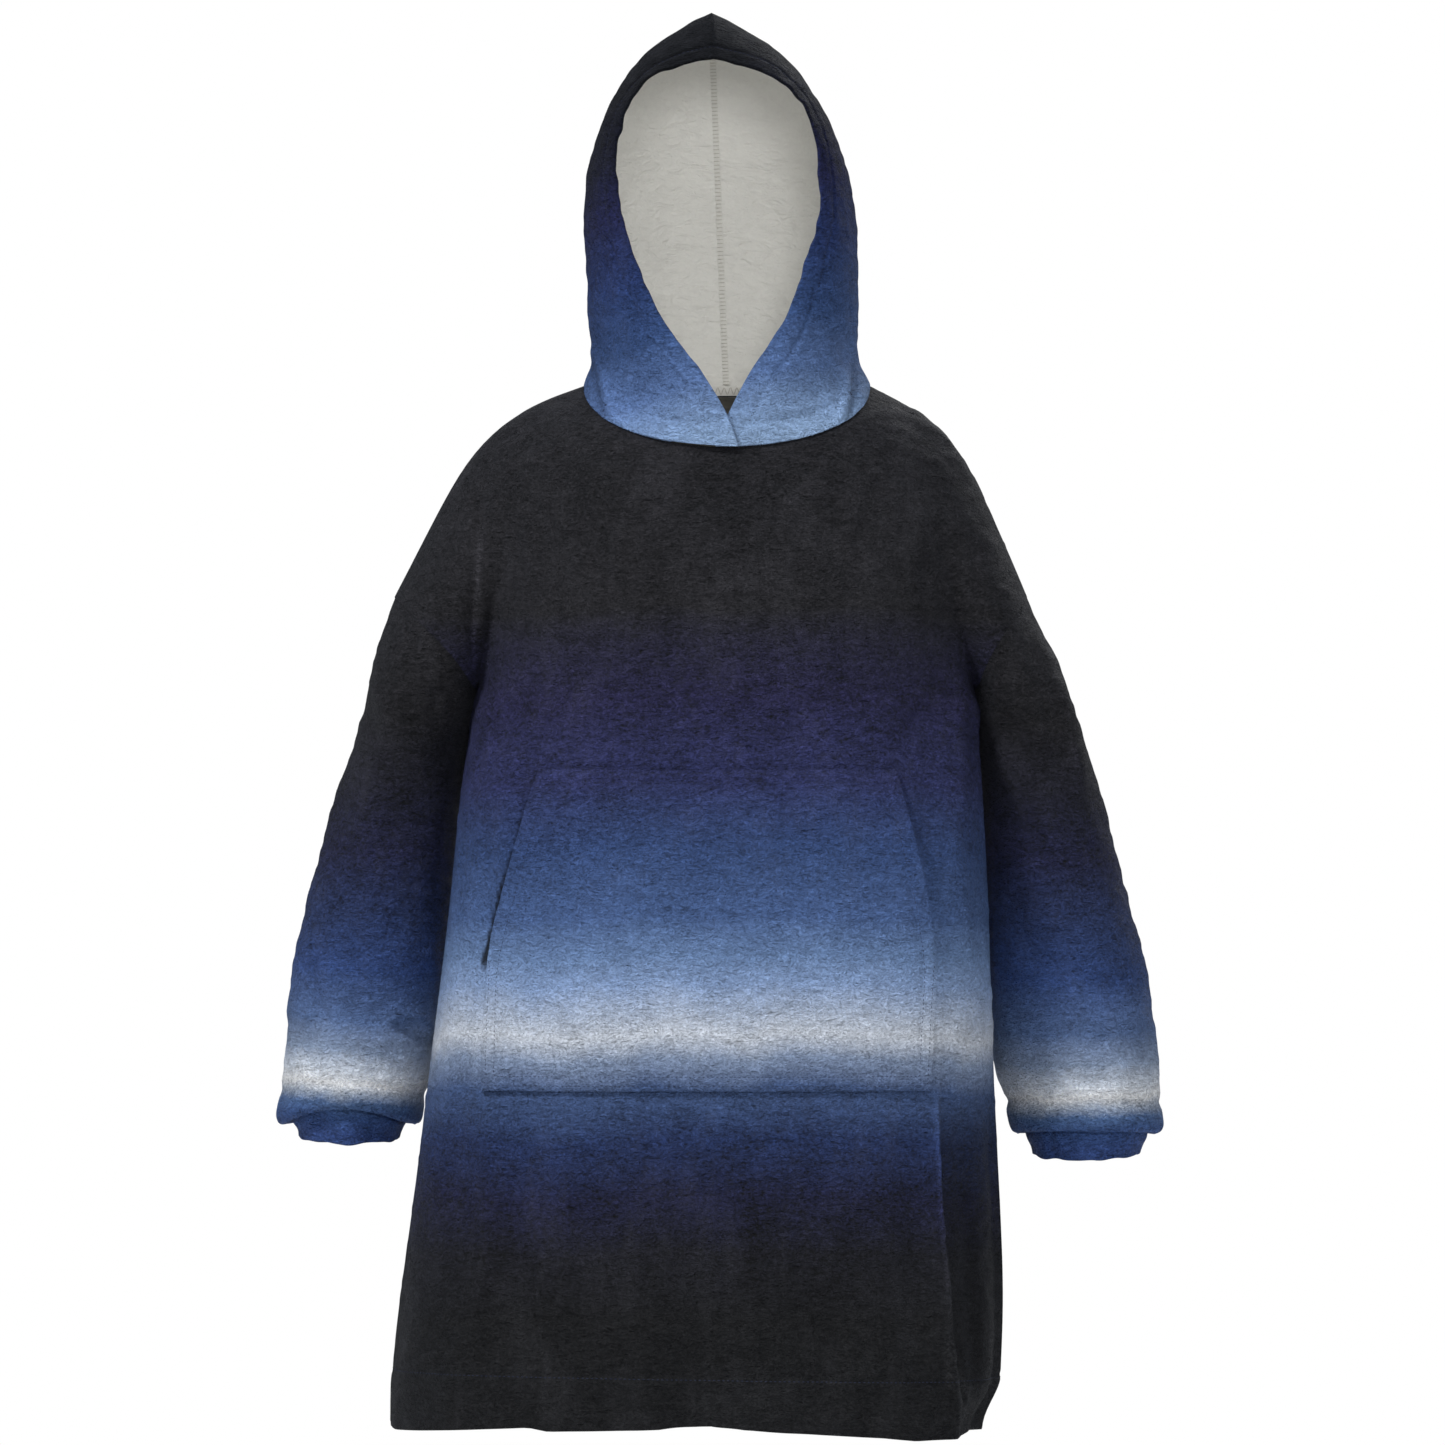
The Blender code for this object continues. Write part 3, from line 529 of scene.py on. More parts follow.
def side_fold(points):
    """The front's long fold on the viewer's right: the cloth steps back behind it."""
    x, z = points[:, 0], points[:, 2]
    line = side_line(z)
    grows = ease(-z, 0.56, 0.68)
    step = -9.0 * MM * ease(x, line, line + 0.009)
    creases = 1.8 * MM * bell(x - line - 0.016, 0.004) * ease(-z, 0.80, 0.86)
    return grows * (step + creases + 1.8 * MM * bell(x - line + 0.004, 0.006))


def rolled_end(node, points):
    """The turned end of a sleeve: a soft roll, with the cloth drawn in above it."""
    x, z = points[:, 0], points[:, 2]
    if node == "sleeve_left":
        line = np.interp(x, (-0.405, -0.350, -0.275), (-0.642, -0.634, -0.645))
        return 3.0 * MM * bell(z - line, 0.010) - 2.2 * MM * bell(z - line - 0.018, 0.007)
    line = np.interp(x, (0.250, 0.310, 0.396), (-0.649, -0.650, -0.651))
    return 3.6 * MM * bell(z - line, 0.011) - 3.2 * MM * bell(z - line - 0.017, 0.005)


def by_the_underarm(node, points):
    """Fills the slit between body and sleeve just below the underarm."""
    x, z = np.abs(points[:, 0]), points[:, 2]
    if node.startswith("sleeve"):
        near = ease(0.266 - x, 0, 0.014)
    elif node in ("front", "back"):
        near = ease(x, 0.195, 0.212)
    else:
        return np.zeros(len(points))
    return 3.4 * MM * bell(z + 0.278, 0.019) * near


def painted_shade_and_highlight(node, points):
    """How dark the cloth is painted where light hardly gets in: painted shadow behind the pocket's
    left opening, and painted shade a little behind the front's long fold, where the side panel's
    print is also darker. Below 0 it is paler, with painted highlights along creases and along the
    edge of that fold."""
    if node == "sleeve_right":
        return -fold_relief(SLEEVE_CREASE_HIGHLIGHT, points) / MM
    if node != "front":
        return np.zeros(len(points))
    x, z = points[:, 0], points[:, 2]
    off = beside_pocket(points)
    gap = np.interp(-z, (0.335, 0.420, 0.500), (4.4, 5.2, 6.8)) * MM
    along = ease(z, -0.513, -0.503) * ease(-z, 0.332, 0.337) * ease(off, -0.030, -0.020)
    # Painted shadow in the gap behind the pocket's left opening.
    opening = 0.93 * along * ease(gap - off, 0, 2.0 * MM) * (x < 0)
    # Darker behind the long fold: partly the side panel's darker print, partly painted shade.
    behind = 0.50 * ease(-z, 0.60, 0.68) * ease(x, side_line(z), side_line(z) + 0.008)
    # Painted highlights along the creases and along the long fold's edge.
    painted_highlight = 2.6 * fold_relief(PAINTED_CREASE_HIGHLIGHTS, points) / MM
    painted_highlight += 1.9 * bell(x - side_line(z) + 0.001, 0.0024) * ease(-z, 0.60, 0.70)
    return opening + behind - painted_highlight


def lap_shadow(points, lapping):
    """How dark the lower half of the hood is along the edge that laps over it at the chin."""
    near = ease(0.004 - distances(points, tree_of(lapping)), 0, 0.002)
    return 0.42 * near * ease(0.022 - points[:, 2], 0, 0.006)


def relief(node, points):
    """How far the cloth of a piece moves outward at each point, in metres."""
    folds, swell, crumple = CLOTH_PIECES[node][:3]
    seed = 1 + list(CLOTH_PIECES).index(node)
    if node.startswith("hood"):
        seed = HOOD_SEED
    height = fold_relief(folds, points)
    for share, size, more, flat in (
        (1.5 * swell, 0.085, 0, 1.5),
        (0.7 * swell, 0.038, 20, 0.8),
        (1.6 * crumple, 0.021, 40, 0.5),
    ):
        height += share * MM * swells(points, size, seed + more, flat)
    if node == "front":
        height *= 1 - pocket_cover(points)
        height += side_fold(points) + hollow_by_pocket(points)
    if node.startswith("sleeve"):
        height *= 1 - 0.6 * ease(-points[:, 2], 0.600, 0.640)
        height += rolled_end(node, points)
    if node == "pocket":
        height = np.maximum(height, -1.8 * MM)
    return height


# How far the rows of stitches run from the edges or the seams that they hold.
HOOD_EDGE_ROW = 0.019
POCKET_EDGE_ROW = 0.013
POCKET_SEAM_ROW = 0.005

# The hem's lower edge across the front view: x and height.
HEM_LINE = [
    (-0.292, -0.9220),
    (-0.240, -0.9195),
    (-0.177, -0.9165),
    (-0.160, -0.9200),
    (-0.060, -0.9185),
    (-0.017, -0.9125),
    (0.016, -0.9190),
    (0.080, -0.9225),
    (0.138, -0.9260),
    (0.169, -0.9295),
    (0.223, -0.9280),
    (0.250, -0.9240),
]


def along_free_edges(node, points, free_end):
    """How far points near a free edge move within the cloth, so the edge isn't ruled."""
    moved = np.zeros_like(points)
    x, z = points[:, 0], points[:, 2]
    if node in ("front", "back"):
        places, heights = zip(*HEM_LINE)
        cut = HEM + HEM_SLANT * x + 0.006 * bell(x + 0.017, 0.026)
        moved[:, 2] = (np.interp(x, places, heights) - cut) * ease(-z, 0.82, 0.915)
        corner = ease(x, 0.195, 0.240) * ease(-z, 0.878, 0.925)
        moved[:, 0] = -13 * MM * corner
    if node.startswith("hood"):
        near = bell(free_end, 0.016) * ease(z, -0.005, 0.06)
        wave = swells(points * np.array([1, 0, 1]), 0.034, 61)
        wave += 0.5 * swells(points * np.array([1, 0, 1]), 0.014, 62)
        outward = points - np.array([-0.006, 0, 0.16])
        outward[:, 1] = 0
        outward /= np.linalg.norm(outward, axis=1)[:, None] + 1e-6
        moved += outward * (3.0 * MM * wave * near)[:, None]
    if node.startswith("cuff"):
        near = bell(free_end, 0.014)
        wave = swells(points * np.array([1, 1, 0.3]), 0.022, 63)
        middle = points.mean(axis=0)
        half = np.ptp(x) / 2
        corner = np.abs((x - middle[0]) / half) ** 6
        moved[:, 2] += (2.6 * MM * wave + 8 * MM * corner) * near
        moved[:, 0] -= (x - middle[0]) * 0.10 * near
    if node == "sleeve_left":
        off = (x + 0.347) / 0.052
        front = ease(0.06 - points[:, 1], 0, 0.04)
        arch = np.clip(1 - off**2, 0, 1) * front
        moved[:, 2] = 6.5 * MM * arch * ease(-z, 0.600, 0.640)
    return moved


def sewn_ends(pieces, ends):
    """Which end points of each piece are sewn to another one, and all points of each piece,
    with the sewn ones moved to where they meet."""
    sewn = {}
    met = {}
    for node, piece in pieces.items():
        others = surface_of(*(other.data for name, other in pieces.items() if name != node))
        points = points_of(piece.data)
        near = [others.find_nearest(points[index], SEWN_REACH)[0] for index in ends[node]]
        sewn[node] = np.array([place is not None for place in near], dtype=bool)
        met[node] = points.copy()
        for index, place in zip(ends[node], near):
            if place is not None:
                met[node][index] += MEETING_SHARE * (np.array(place) - points[index])
    return sewn, met


def at_armhole(node, points):
    """Whether a point is by an armhole seam, which lies flatter than the others."""
    near = (points[:, 2] > -0.30) & (np.abs(points[:, 0]) > 0.2)
    return node.startswith("sleeve") | near


def grooves(node, points, seam, free_end):
    """How far the shown cloth moves at its seams and at the stitches of its turned edges."""
    groove = np.where(at_armhole(node, points), -0.2, -0.7) * MM * bell(seam, SEAM_WIDTH)
    if node.startswith("hood"):
        groove *= ease(0.02 - points[:, 2], 0, 0.02)
        groove -= 1.3 * MM * bell(free_end - HOOD_EDGE_ROW, 2.6 * MM)
    if node == "pocket":
        groove -= 0.9 * MM * bell(free_end - 0.014, 2.4 * MM)
    return groove


def edge_play(node, seam):
    """How freely a piece's free edges move: not at its seams, except along the hem."""
    if node in ("front", "back"):
        return np.ones(len(seam))
    return ease(seam, 0, 0.006 if node.startswith("sleeve") else 0.02)


def back_corner(points):
    """How far the hood comes down at the middle of the neck's back, where its halves meet."""
    corner = bell(points[:, 0], 4 * MM) * (points[:, 1] > 0.05)
    return 2.2 * MM * corner * ease(0.022 - points[:, 2], 0, 0.012)


def painted_shade_of(node, points, seam, flaps):
    """The painted shade of a piece: at its seams' grooves, in its crevices and in the troughs
    beside the hood's flaps, with painted highlights on the flaps' ridges and on some creases.
    """
    seam_shade = 0 if node.startswith("hood") else np.where(at_armhole(node, points), 0.03, 0.24)
    return seam_shade * bell(seam, 3 * MM) + painted_shade_and_highlight(node, points) - 0.09 * flaps / MM


def shaped(pieces):
    """Gives all pieces of cloth their folds, keeping their sewn ends together.

    Returns what each point needs for its sewing, and the points that are sewn."""
    walls = {node: wall_normals(piece.data) for node, piece in pieces.items()}
    ends = {node: end_points(piece.data) for node, piece in pieces.items()}
    sewn, met = sewn_ends(pieces, ends)
    along_seams = {node: points_of(pieces[node].data)[ends[node][sewn[node]]] for node in pieces}
    seams = tree_of(np.concatenate(list(along_seams.values())))
    sides = {}
    for node, piece in pieces.items():
        points = points_of(piece.data)
        outward, shown = walls[node]
        seam = distances(points, seams)
        free = points[ends[node][~sewn[node]]]
        free_end = distances(points, tree_of(free)) if len(free) else np.full(len(points), 1.0)

        # Both skins of a wall take the folds of the shown one.
        on_shown = np.where(shown[:, None], points, points + outward * CLOTH)
        height = relief(node, on_shown) * ease(seam, 1.5 * MM, SEAM_FADE)
        hood = node.startswith("hood")
        flaps = fold_relief(HOOD_FLAPS, points) if hood else np.zeros(len(points))
        height += flaps * ease(seam, 0, 4 * MM)
        if node in ("front", "back"):
            height -= 0.9 * MM * bell(above_hem_row(points), 2.6 * MM)
        height += grooves(node, points, seam, free_end) * shown
        height += by_the_underarm(node, points) * ease(seam, 0.5 * MM, 5 * MM)
        moved = met[node] + outward * height[:, None]
        moved += along_free_edges(node, points, free_end) * edge_play(node, seam)[:, None]
        if hood:
            moved[:, 2] -= back_corner(points)
        piece.data.vertices.foreach_set("co", moved.ravel())

        # Painted shade and highlights, kept in the shade attribute that darkens or lightens the
        # colour.
        dark = painted_shade_of(node, points, seam, flaps)
        if node == "hood_right":
            lapping = points_of(pieces["hood_left"].data)[ends["hood_left"][~sewn["hood_left"]]]
            dark = dark + lap_shadow(points, lapping[lapping[:, 2] < 0.04])
        shade = piece.data.attributes.new("shade", "FLOAT", "POINT")
        shade.data.foreach_set("value", dark)
        piece.data.update()
        sides[node] = {"shown": shown, "seam": seam, "free_end": free_end, "outward": outward}
    return sides, along_seams


class Value:
    """A number in a material: sums on it add the Math nodes."""

    def __init__(self, finish, socket):
        self.finish = finish
        self.socket = socket

    def sum(self, operation, first, second=0.0):
        return self.finish.node("ShaderNodeMath", {"operation": operation}, {0: first, 1: second})

    def __add__(self, other):
        return self.sum("ADD", self, other)

    def __radd__(self, other):
        return self.sum("ADD", other, self)

    def __sub__(self, other):
        return self.sum("SUBTRACT", self, other)

    def __rsub__(self, other):
        return self.sum("SUBTRACT", other, self)

    def __mul__(self, other):
        return self.sum("MULTIPLY", self, other)

    def __rmul__(self, other):
        return self.sum("MULTIPLY", other, self)

    def __truediv__(self, other):
        return self.sum("DIVIDE", self, other)

    def __rtruediv__(self, other):
        return self.sum("DIVIDE", other, self)

    def clamped(self):
        return self.finish.node(
            "ShaderNodeMath", {"operation": "ADD", "use_clamp": True}, {0: self, 1: 0.0}
        )


class Finish:
    """A material and the one method that adds nodes to it."""

    def __init__(self, name, **constants):
        self.material = bpy.data.materials.new(name)
        self.material.use_nodes = True
        self.tree = self.material.node_tree
        self.shader = self.tree.nodes["Principled BSDF"]
        for socket, value in constants.items():
            self.shader.inputs[socket.replace("_", " ")].default_value = value

    def node(self, kind, settings=None, inputs=None, output=0):
        """Adds a node with its settings and sockets, and gives one of its outputs."""
        node = self.tree.nodes.new(kind)
        for name, value in (settings or {}).items():
            if name == "stops":
                self.set_stops(node.color_ramp, value)
            else:
                setattr(node, name, value)
        for name, value in (inputs or {}).items():
            self.fill(node.inputs[name], value)
        return Value(self, node.outputs[output])

    def fill(self, socket, value):
        """Links a socket to a value, or gives it a number, a vector or a colour."""
        if isinstance(value, Value):
            self.tree.links.new(value.socket, socket)
        elif socket.type == "RGBA" and len(value) == 3:
            socket.default_value = (*value, 1)
        else:
            socket.default_value = value

    def set_stops(self, ramp, stops):
        """Gives a colour ramp its stops, in rising order."""
        while len(ramp.elements) > 1:
            ramp.elements.remove(ramp.elements[-1])
        for index, (place, colour) in enumerate(stops):
            stop = ramp.elements[0] if index == 0 else ramp.elements.new(place)
            stop.position = place
            stop.color = (*colour, 1)

    def set(self, **inputs):
        """Fills the finish's own sockets, with an underscore for each space in their names."""
        for name, value in inputs.items():
            self.fill(self.shader.inputs[name.replace("_", " ")], value)

    def place(self):
        """Where a point is on the hoodie, in metres."""
        return self.node("ShaderNodeTexCoord", output="Object")

    def grain(self, place, scale, detail=3.0, rough=0.55, distortion=0.0):
        """Noise from 0 to 1 with so many lumps to the metre, along each axis."""
        scale = scale if isinstance(scale, tuple) else (scale, scale, scale)
        mapped = self.node("ShaderNodeMapping", None, {"Vector": place, "Scale": scale})
        look = {"Scale": 1.0, "Detail": detail, "Roughness": rough, "Distortion": distortion}
        return self.node("ShaderNodeTexNoise", None, {"Vector": mapped, **look}, "Fac")

    def mixed(self, share, first, second):
        """Mixes two colours."""
        return self.node("ShaderNodeMix", {"data_type": "RGBA"}, {0: share, 6: first, 7: second}, 2)

    def shaded(self, colour, light):
        """A colour made darker or lighter by a number."""
        inputs = {0: colour, "Scale": light}
        return self.node("ShaderNodeVectorMath", {"operation": "SCALE"}, inputs)

    def bump(self, height, distance, below=None):
        """The relief of a height, on top of the relief below it."""
        inputs = {"Height": height, "Distance": distance}
        if below is not None:
            inputs["Normal"] = below
        return self.node("ShaderNodeBump", None, inputs, "Normal")


def linear(code):
    """A colour from its six hexadecimal digits, as light."""
    parts = [int(code[i : i + 2], 16) / 255 for i in (0, 2, 4)]
    return tuple(p / 12.92 if p < 0.04045 else ((p + 0.055) / 1.055) ** 2.4 for p in parts)


# Heights of the dip dye, in metres, and the colour there.
CHARCOAL = "201f22"
DARKEST = "141415"
BODY_DYE = [
    (-0.93, DARKEST),
    (-0.82, DARKEST),
    (-0.76, "17171f"),
    (-0.71, "1d203e"),
    (-0.66, "253560"),
    (-0.615, "485f8c"),
    (-0.588, "8fa1c0"),
    (-0.567, "dde4f0"),
    (-0.545, "b9c8e2"),
    (-0.520, "94aeda"),
    (-0.495, "7390be"),
    (-0.46, "4f6a9d"),
    (-0.40, "384f80"),
    (-0.34, "2e3461"),
    (-0.27, "262548"),
    (-0.19, CHARCOAL),
]
SLEEVE_DYE = [
    (-0.72, "2d4274"),
    (-0.668, "38508a"),
    (-0.650, "3f5c94"),
    (-0.638, "54719f"),
    (-0.629, "a9b5c8"),
    (-0.620, "fafcff"),
    (-0.608, "dfe8f6"),
    (-0.590, "94a6c4"),
    (-0.562, "5c75a3"),
    (-0.515, "374f86"),
    (-0.465, "2a3963"),
    (-0.41, "222545"),
    (-0.35, "1d1d2a"),
    (-0.29, CHARCOAL),
]
HOOD_DYE = [
    (-0.06, "accaf0"),
    (-0.03, "9ab8e2"),
    (0.02, "6683b8"),
    (0.07, "3f598b"),
    (0.13, "2c3e70"),
    (0.19, "1f234b"),
    (0.24, "121324"),
    (0.30, "09090b"),
]
PILE_SHEEN = (0.070, 0.070, 0.082)  # the colour of the painted sheen on the pile


def dyed(finish, place, fibre, dye, arc, tilt):
    """The dip dye's colour. Its edge is soft and uneven, and arc and tilt raise it to the sides."""
    across = finish.node("ShaderNodeSeparateXYZ", None, {"Vector": place}, "X")
    height = Value(finish, across.socket.node.outputs["Z"])
    wide = finish.grain(place, (6.0, 6.0, 3.0), 3.0, 0.5)
    small = finish.grain(place, 30.0, 4.0, 0.6)
    soaked = height + (wide - 0.5) * 0.034 + (small - 0.5) * 0.012 + (fibre - 0.5) * 0.010
    soaked = soaked + across * across * arc + across * tilt
    low, high = dye[0][0], dye[-1][0]
    share = (soaked - low) / (high - low)
    stops = [((z - low) / (high - low), linear(code)) for z, code in dye]
    return finish.node("ShaderNodeValToRGB", {"stops": stops}, {"Fac": share})


def fleece(name, dye, arc=0.12, tilt=0.0, gloss=0.14):
    """Plush fleece with its dip dye, brushed pile, crumples and seams, darkened by painted shade
    and lightened by painted highlights from the shade attribute.
    """
    finish = Finish(name, Roughness=0.92, Specular_IOR_Level=gloss, Sheen_Weight=0.05)
    finish.set(Sheen_Roughness=0.6, Sheen_Tint=(0.55, 0.62, 0.8))
    place = finish.place()
    fibre = finish.grain(place, (360.0, 360.0, 560.0), 3.0, 0.7, 0.5)
    colour = dyed(finish, place, fibre, dye, arc, tilt)

    # Patches of pile that lie the other way, and tufts and fibres, in a random tone, with painted
    # shade in the hollows of the crumples and ridges and paler crests; and pale wisps of painted
    # sheen.
    brushed = finish.grain(place, (15.0, 15.0, 9.0), 4.0, 0.62, 0.6)
    tuft = finish.grain(place, (150.0, 150.0, 290.0), 4.0, 0.62, 0.9)
    streak = finish.grain(place, (75.0, 75.0, 16.0), 4.0, 0.65, 0.6)
    crumple = finish.grain(place, (42.0, 42.0, 95.0), 3.0, 0.5, 1.0)
    ridges = finish.grain(place, (105.0, 105.0, 230.0), 4.0, 0.6, 1.4)
    uneven = brushed * 0.8 + crumple * 0.6 + ridges * 0.9 + tuft * 1.1 + fibre * 2.0 - 2.7
    # Both the random tone and the painted shade of the pile are stronger on the dark dye than on
    # the pale one.
    pale = finish.node("ShaderNodeRGBToBW", None, {"Color": colour})
    strength = 0.45 + 2.6 / (1 + pale * 40)
    colour = finish.shaded(colour, uneven * strength + 1)
    # Pale streaks of painted sheen on the pile.
    sheen_wisps = (streak * brushed * 4.0 - 0.9).clamped() * 0.16
    colour = finish.mixed(sheen_wisps, colour, PILE_SHEEN)
    shade = finish.node("ShaderNodeAttribute", {"attribute_name": "shade"}, None, "Fac")
    finish.set(Base_Color=finish.shaded(colour, 1 - shade), Roughness=0.62 + tuft * 0.20)

    # Crumples pressed into the pile, then its tufts and its fibres.
    low_relief = finish.bump(crumple, 12.0 * MM)
    middle = finish.bump(ridges, 9.5 * MM, low_relief)
    finish.set(Normal=finish.bump(fibre * 0.5 + tuft * 0.5, 4.5 * MM, middle))
    return finish.material


def lining(name, tint, depth=1.0):
    """The smoother inner face of the cloth."""
    finish = Finish(name, Roughness=0.95, Specular_IOR_Level=0.1, Sheen_Weight=0.05)
    place = finish.place()
    cloud = finish.grain(place, (18.0, 18.0, 26.0), 4.0, 0.6, 0.5)
    tuft = finish.grain(place, (160.0, 160.0, 260.0), 4.0, 0.65, 0.8)
    crumple = finish.grain(place, (52.0, 52.0, 120.0), 4.0, 0.55, 1.2)
    colour = finish.shaded(tint, 0.86 + cloud * 0.16 + tuft * 0.12)
    finish.set(Base_Color=colour, Roughness=0.88 + tuft * 0.1)
    low_relief = finish.bump(crumple, 3.0 * MM * depth)
    finish.set(Normal=finish.bump(tuft, 1.2 * MM * depth, low_relief))
    return finish.material


def thread(name, tint):
    """Sewing thread with its twist."""
    finish = Finish(name, Roughness=0.75, Specular_IOR_Level=0.25)
    place = finish.place()
    twist = finish.grain(place, 900.0, 2.0, 0.5)
    finish.set(Base_Color=finish.shaded(tint, 0.8 + twist * 0.4))
    finish.set(Normal=finish.bump(twist, 0.3 * MM))
    return finish.material


FINISHES = {
    "body": fleece("fleece_body", BODY_DYE),
    "pocket": fleece("fleece_pocket", BODY_DYE),
    "sleeve": fleece("fleece_sleeve", SLEEVE_DYE, 0.0, 0.020),
    "hood": fleece("fleece_hood", HOOD_DYE, 0.8, -0.23, 0.05),
    "cream": lining("lining_hood", (0.86, 0.85, 0.81)),
    "grey": lining("lining_body", (0.17, 0.165, 0.145)),
    "cream_thread": thread("thread_cream", (0.56, 0.54, 0.49)),
    "cream_tape": lining("tape_cream", (0.78, 0.77, 0.73), 0.4),
    "dark_thread": thread("thread_dark", (0.020, 0.026, 0.055)),
}

# For each kind of piece, its outside, its inside and its slot.
DRESS = {
    "front": ("body", "grey", "fleece_body"),
    "back": ("body", "grey", "fleece_body"),
    "sleeve": ("sleeve", "grey", "fleece_sleeve"),
    "cuff": ("sleeve", "grey", "fleece_sleeve"),
    "hood": ("hood", "cream", "fleece_hood"),
    "pocket": ("pocket", "grey", "fleece_pocket"),
}
ACROSS = math.pi / 2  # stitches that lie across their line


def level_line(nodes, value_of, level, keep):
    """Points and outward directions where a value on the shown cloth crosses a level."""
    places = []
    directions = []
    for node in nodes:
        mesh = cloth[node].data
        points = points_of(mesh)
        ends = np.empty(len(mesh.edges) * 2, dtype=np.int32)
        mesh.edges.foreach_get("vertices", ends)
        first, second = ends.reshape(-1, 2).T
        values = value_of(node, points)
        shown = sides[node]["shown"] & keep(points)
        crosses = (values[first] < level) != (values[second] < level)
        crosses &= shown[first] & shown[second]
        first, second = first[crosses], second[crosses]
        share = ((level - values[first]) / (values[second] - values[first]))[:, None]
        places.append(points[first] * (1 - share) + points[second] * share)
        outward = sides[node]["outward"]
        directions.append(outward[first] * (1 - share) + outward[second] * share)
    return np.concatenate(places), np.concatenate(directions)


def in_order(places, directions, middle, axes):
    """Sorts points by their angle about a middle, seen along the third axis."""
    off = places[:, axes] - np.array(middle)
    order = np.argsort(np.arctan2(off[:, 1], off[:, 0]))
    return places[order], directions[order]


def evenly(places, directions, pitch, reach=0.012):
    """Points at an even pitch along a line, leaving out its wide gaps."""
    steps = np.linalg.norm(np.diff(places, axis=0), axis=1)
    along = np.concatenate([[0], np.cumsum(steps)])
    at = np.arange(pitch / 2, along[-1], pitch)
    before = np.clip(np.searchsorted(along, at) - 1, 0, len(steps) - 1)
    at = at[steps[before] < reach]
    found = [np.interp(at, along, column) for column in (*places.T, *directions.T)]
    return np.array(found[:3]).T, np.array(found[3:]).T


def smoothed(values, reach=6):
    """A running mean along a line."""
    weights = np.ones(2 * reach + 1) / (2 * reach + 1)
    padded = np.pad(values, ((reach, reach), (0, 0)), mode="edge")
    return np.array([np.convolve(column, weights, "valid") for column in padded.T]).T


def stitch_row(name, places, directions, size, finish, turn=0.0, zigzag=0.0, lift=0.0):
    """A row of short stitches along a line on the cloth, turned by an angle to the line."""
    mesh = bmesh.new()
    runs = np.gradient(places, axis=0)
    for index, (place, outward, run) in enumerate(zip(places, directions, runs)):
        normal = Vector(outward).normalized()
        run = Vector(run)
        run = (run - normal * run.dot(normal)).normalized()
        beside = normal.cross(run)
        tilt = turn + (zigzag if index % 2 else -zigzag)
        ahead = run * math.cos(tilt) + beside * math.sin(tilt)
        matrix = Matrix((ahead, normal.cross(ahead), normal)).transposed().to_4x4()
        matrix.translation = Vector(place) + normal * lift
        matrix = matrix @ Matrix.Diagonal((size[0], size[1], size[1], 1))
        bmesh.ops.create_icosphere(mesh, subdivisions=1, radius=0.5, matrix=matrix)
    row = add_piece(name, mesh)
    row.data.materials.append(FINISHES[finish])
    smooth_shaded(row)


def band(name, places, directions, beside, width, height, finish):
    """A soft flat band that covers a seam, domed a little towards its outward side."""
    mesh = bmesh.new()
    bmesh.ops.create_grid(mesh, x_segments=4, y_segments=len(places) - 1, size=0.5)
    for vert in mesh.verts:
        along = (vert.co.y + 0.5) * (len(places) - 1)
        across = vert.co.x
        index = int(round(along))
        dome = height * (1 - (2 * across) ** 2)
        place = places[index] + directions[index] * dome + beside[index] * across * width
        vert.co = Vector(place)
    piece = add_piece(name, mesh)
    piece.data.materials.append(FINISHES[finish])
    smooth_shaded(piece)


def unit(values):
    """Vectors at a length of 1."""
    return values / (np.linalg.norm(values, axis=1)[:, None] + 1e-9)


def facing(points, middle, axis):
    """Unit directions from points to a middle, square to an axis."""
    toward = np.array(middle) - points
    toward[:, axis] = 0
    return unit(toward)


def off_free_edge(node, points):
    """How far each point of a piece is from its free edges."""
    return sides[node]["free_end"]


def off_seam(node, points):
    """How far each point of a piece is from its seams."""
    return sides[node]["seam"]


def off_hem_row(node, points):
    """How far each point of a piece is above the hem's stitches."""
    return above_hem_row(points)


def edge_row(name, nodes, value_of, level, keep, middle, axes, pitch, size):
    """A row of dark stitches on the shown cloth, where a value is at a level."""
    places, directions = in_order(*level_line(nodes, value_of, level, keep), middle, axes)
    stitch_row(name, *evenly(places, directions, pitch), size, "dark_thread")


def soft_light(name, place, target, size, power):
    """A round lamp of a size that is turned to a target."""
    light = bpy.data.lights.new(name, "AREA")
    light.shape = "DISK"
    light.size = size
    light.energy = power
    lamp = bpy.data.objects.new(name, light)
    bpy.context.scene.collection.objects.link(lamp)
    lamp.location = place
    lamp.rotation_euler = (Vector(target) - Vector(place)).to_track_quat("-Z", "Y").to_euler()


# The pieces of cloth.
meshes = {}
for node in CLOTH_PIECES:
    meshes[node] = merged_mesh(node)
    mark_skins(meshes[node], node)
coarse = {node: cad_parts[node].data for node in CLOTH_PIECES}
cloth = {}
for node, mesh in meshes.items():
    crease_ends(mesh, surface_of(*(coarse[name] for name in coarse if name != node)))
    cloth[node] = add_piece(node + "_fleece", mesh)
for node, piece in cloth.items():
    subdivided(piece, CLOTH_PIECES[node][3])
for node in ("front", "back"):
    finer_shown_side(cloth[node])
sides, along_seams = shaped(cloth)

for node, piece in cloth.items():
    outside, inside, slot = DRESS[node.split("_")[0]]
    for name in (outside, inside, outside):
        piece.data.materials.append(FINISHES[name])
    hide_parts(node)
    size, area, held, rests_on = CLOTH_PIECES[node][4:]

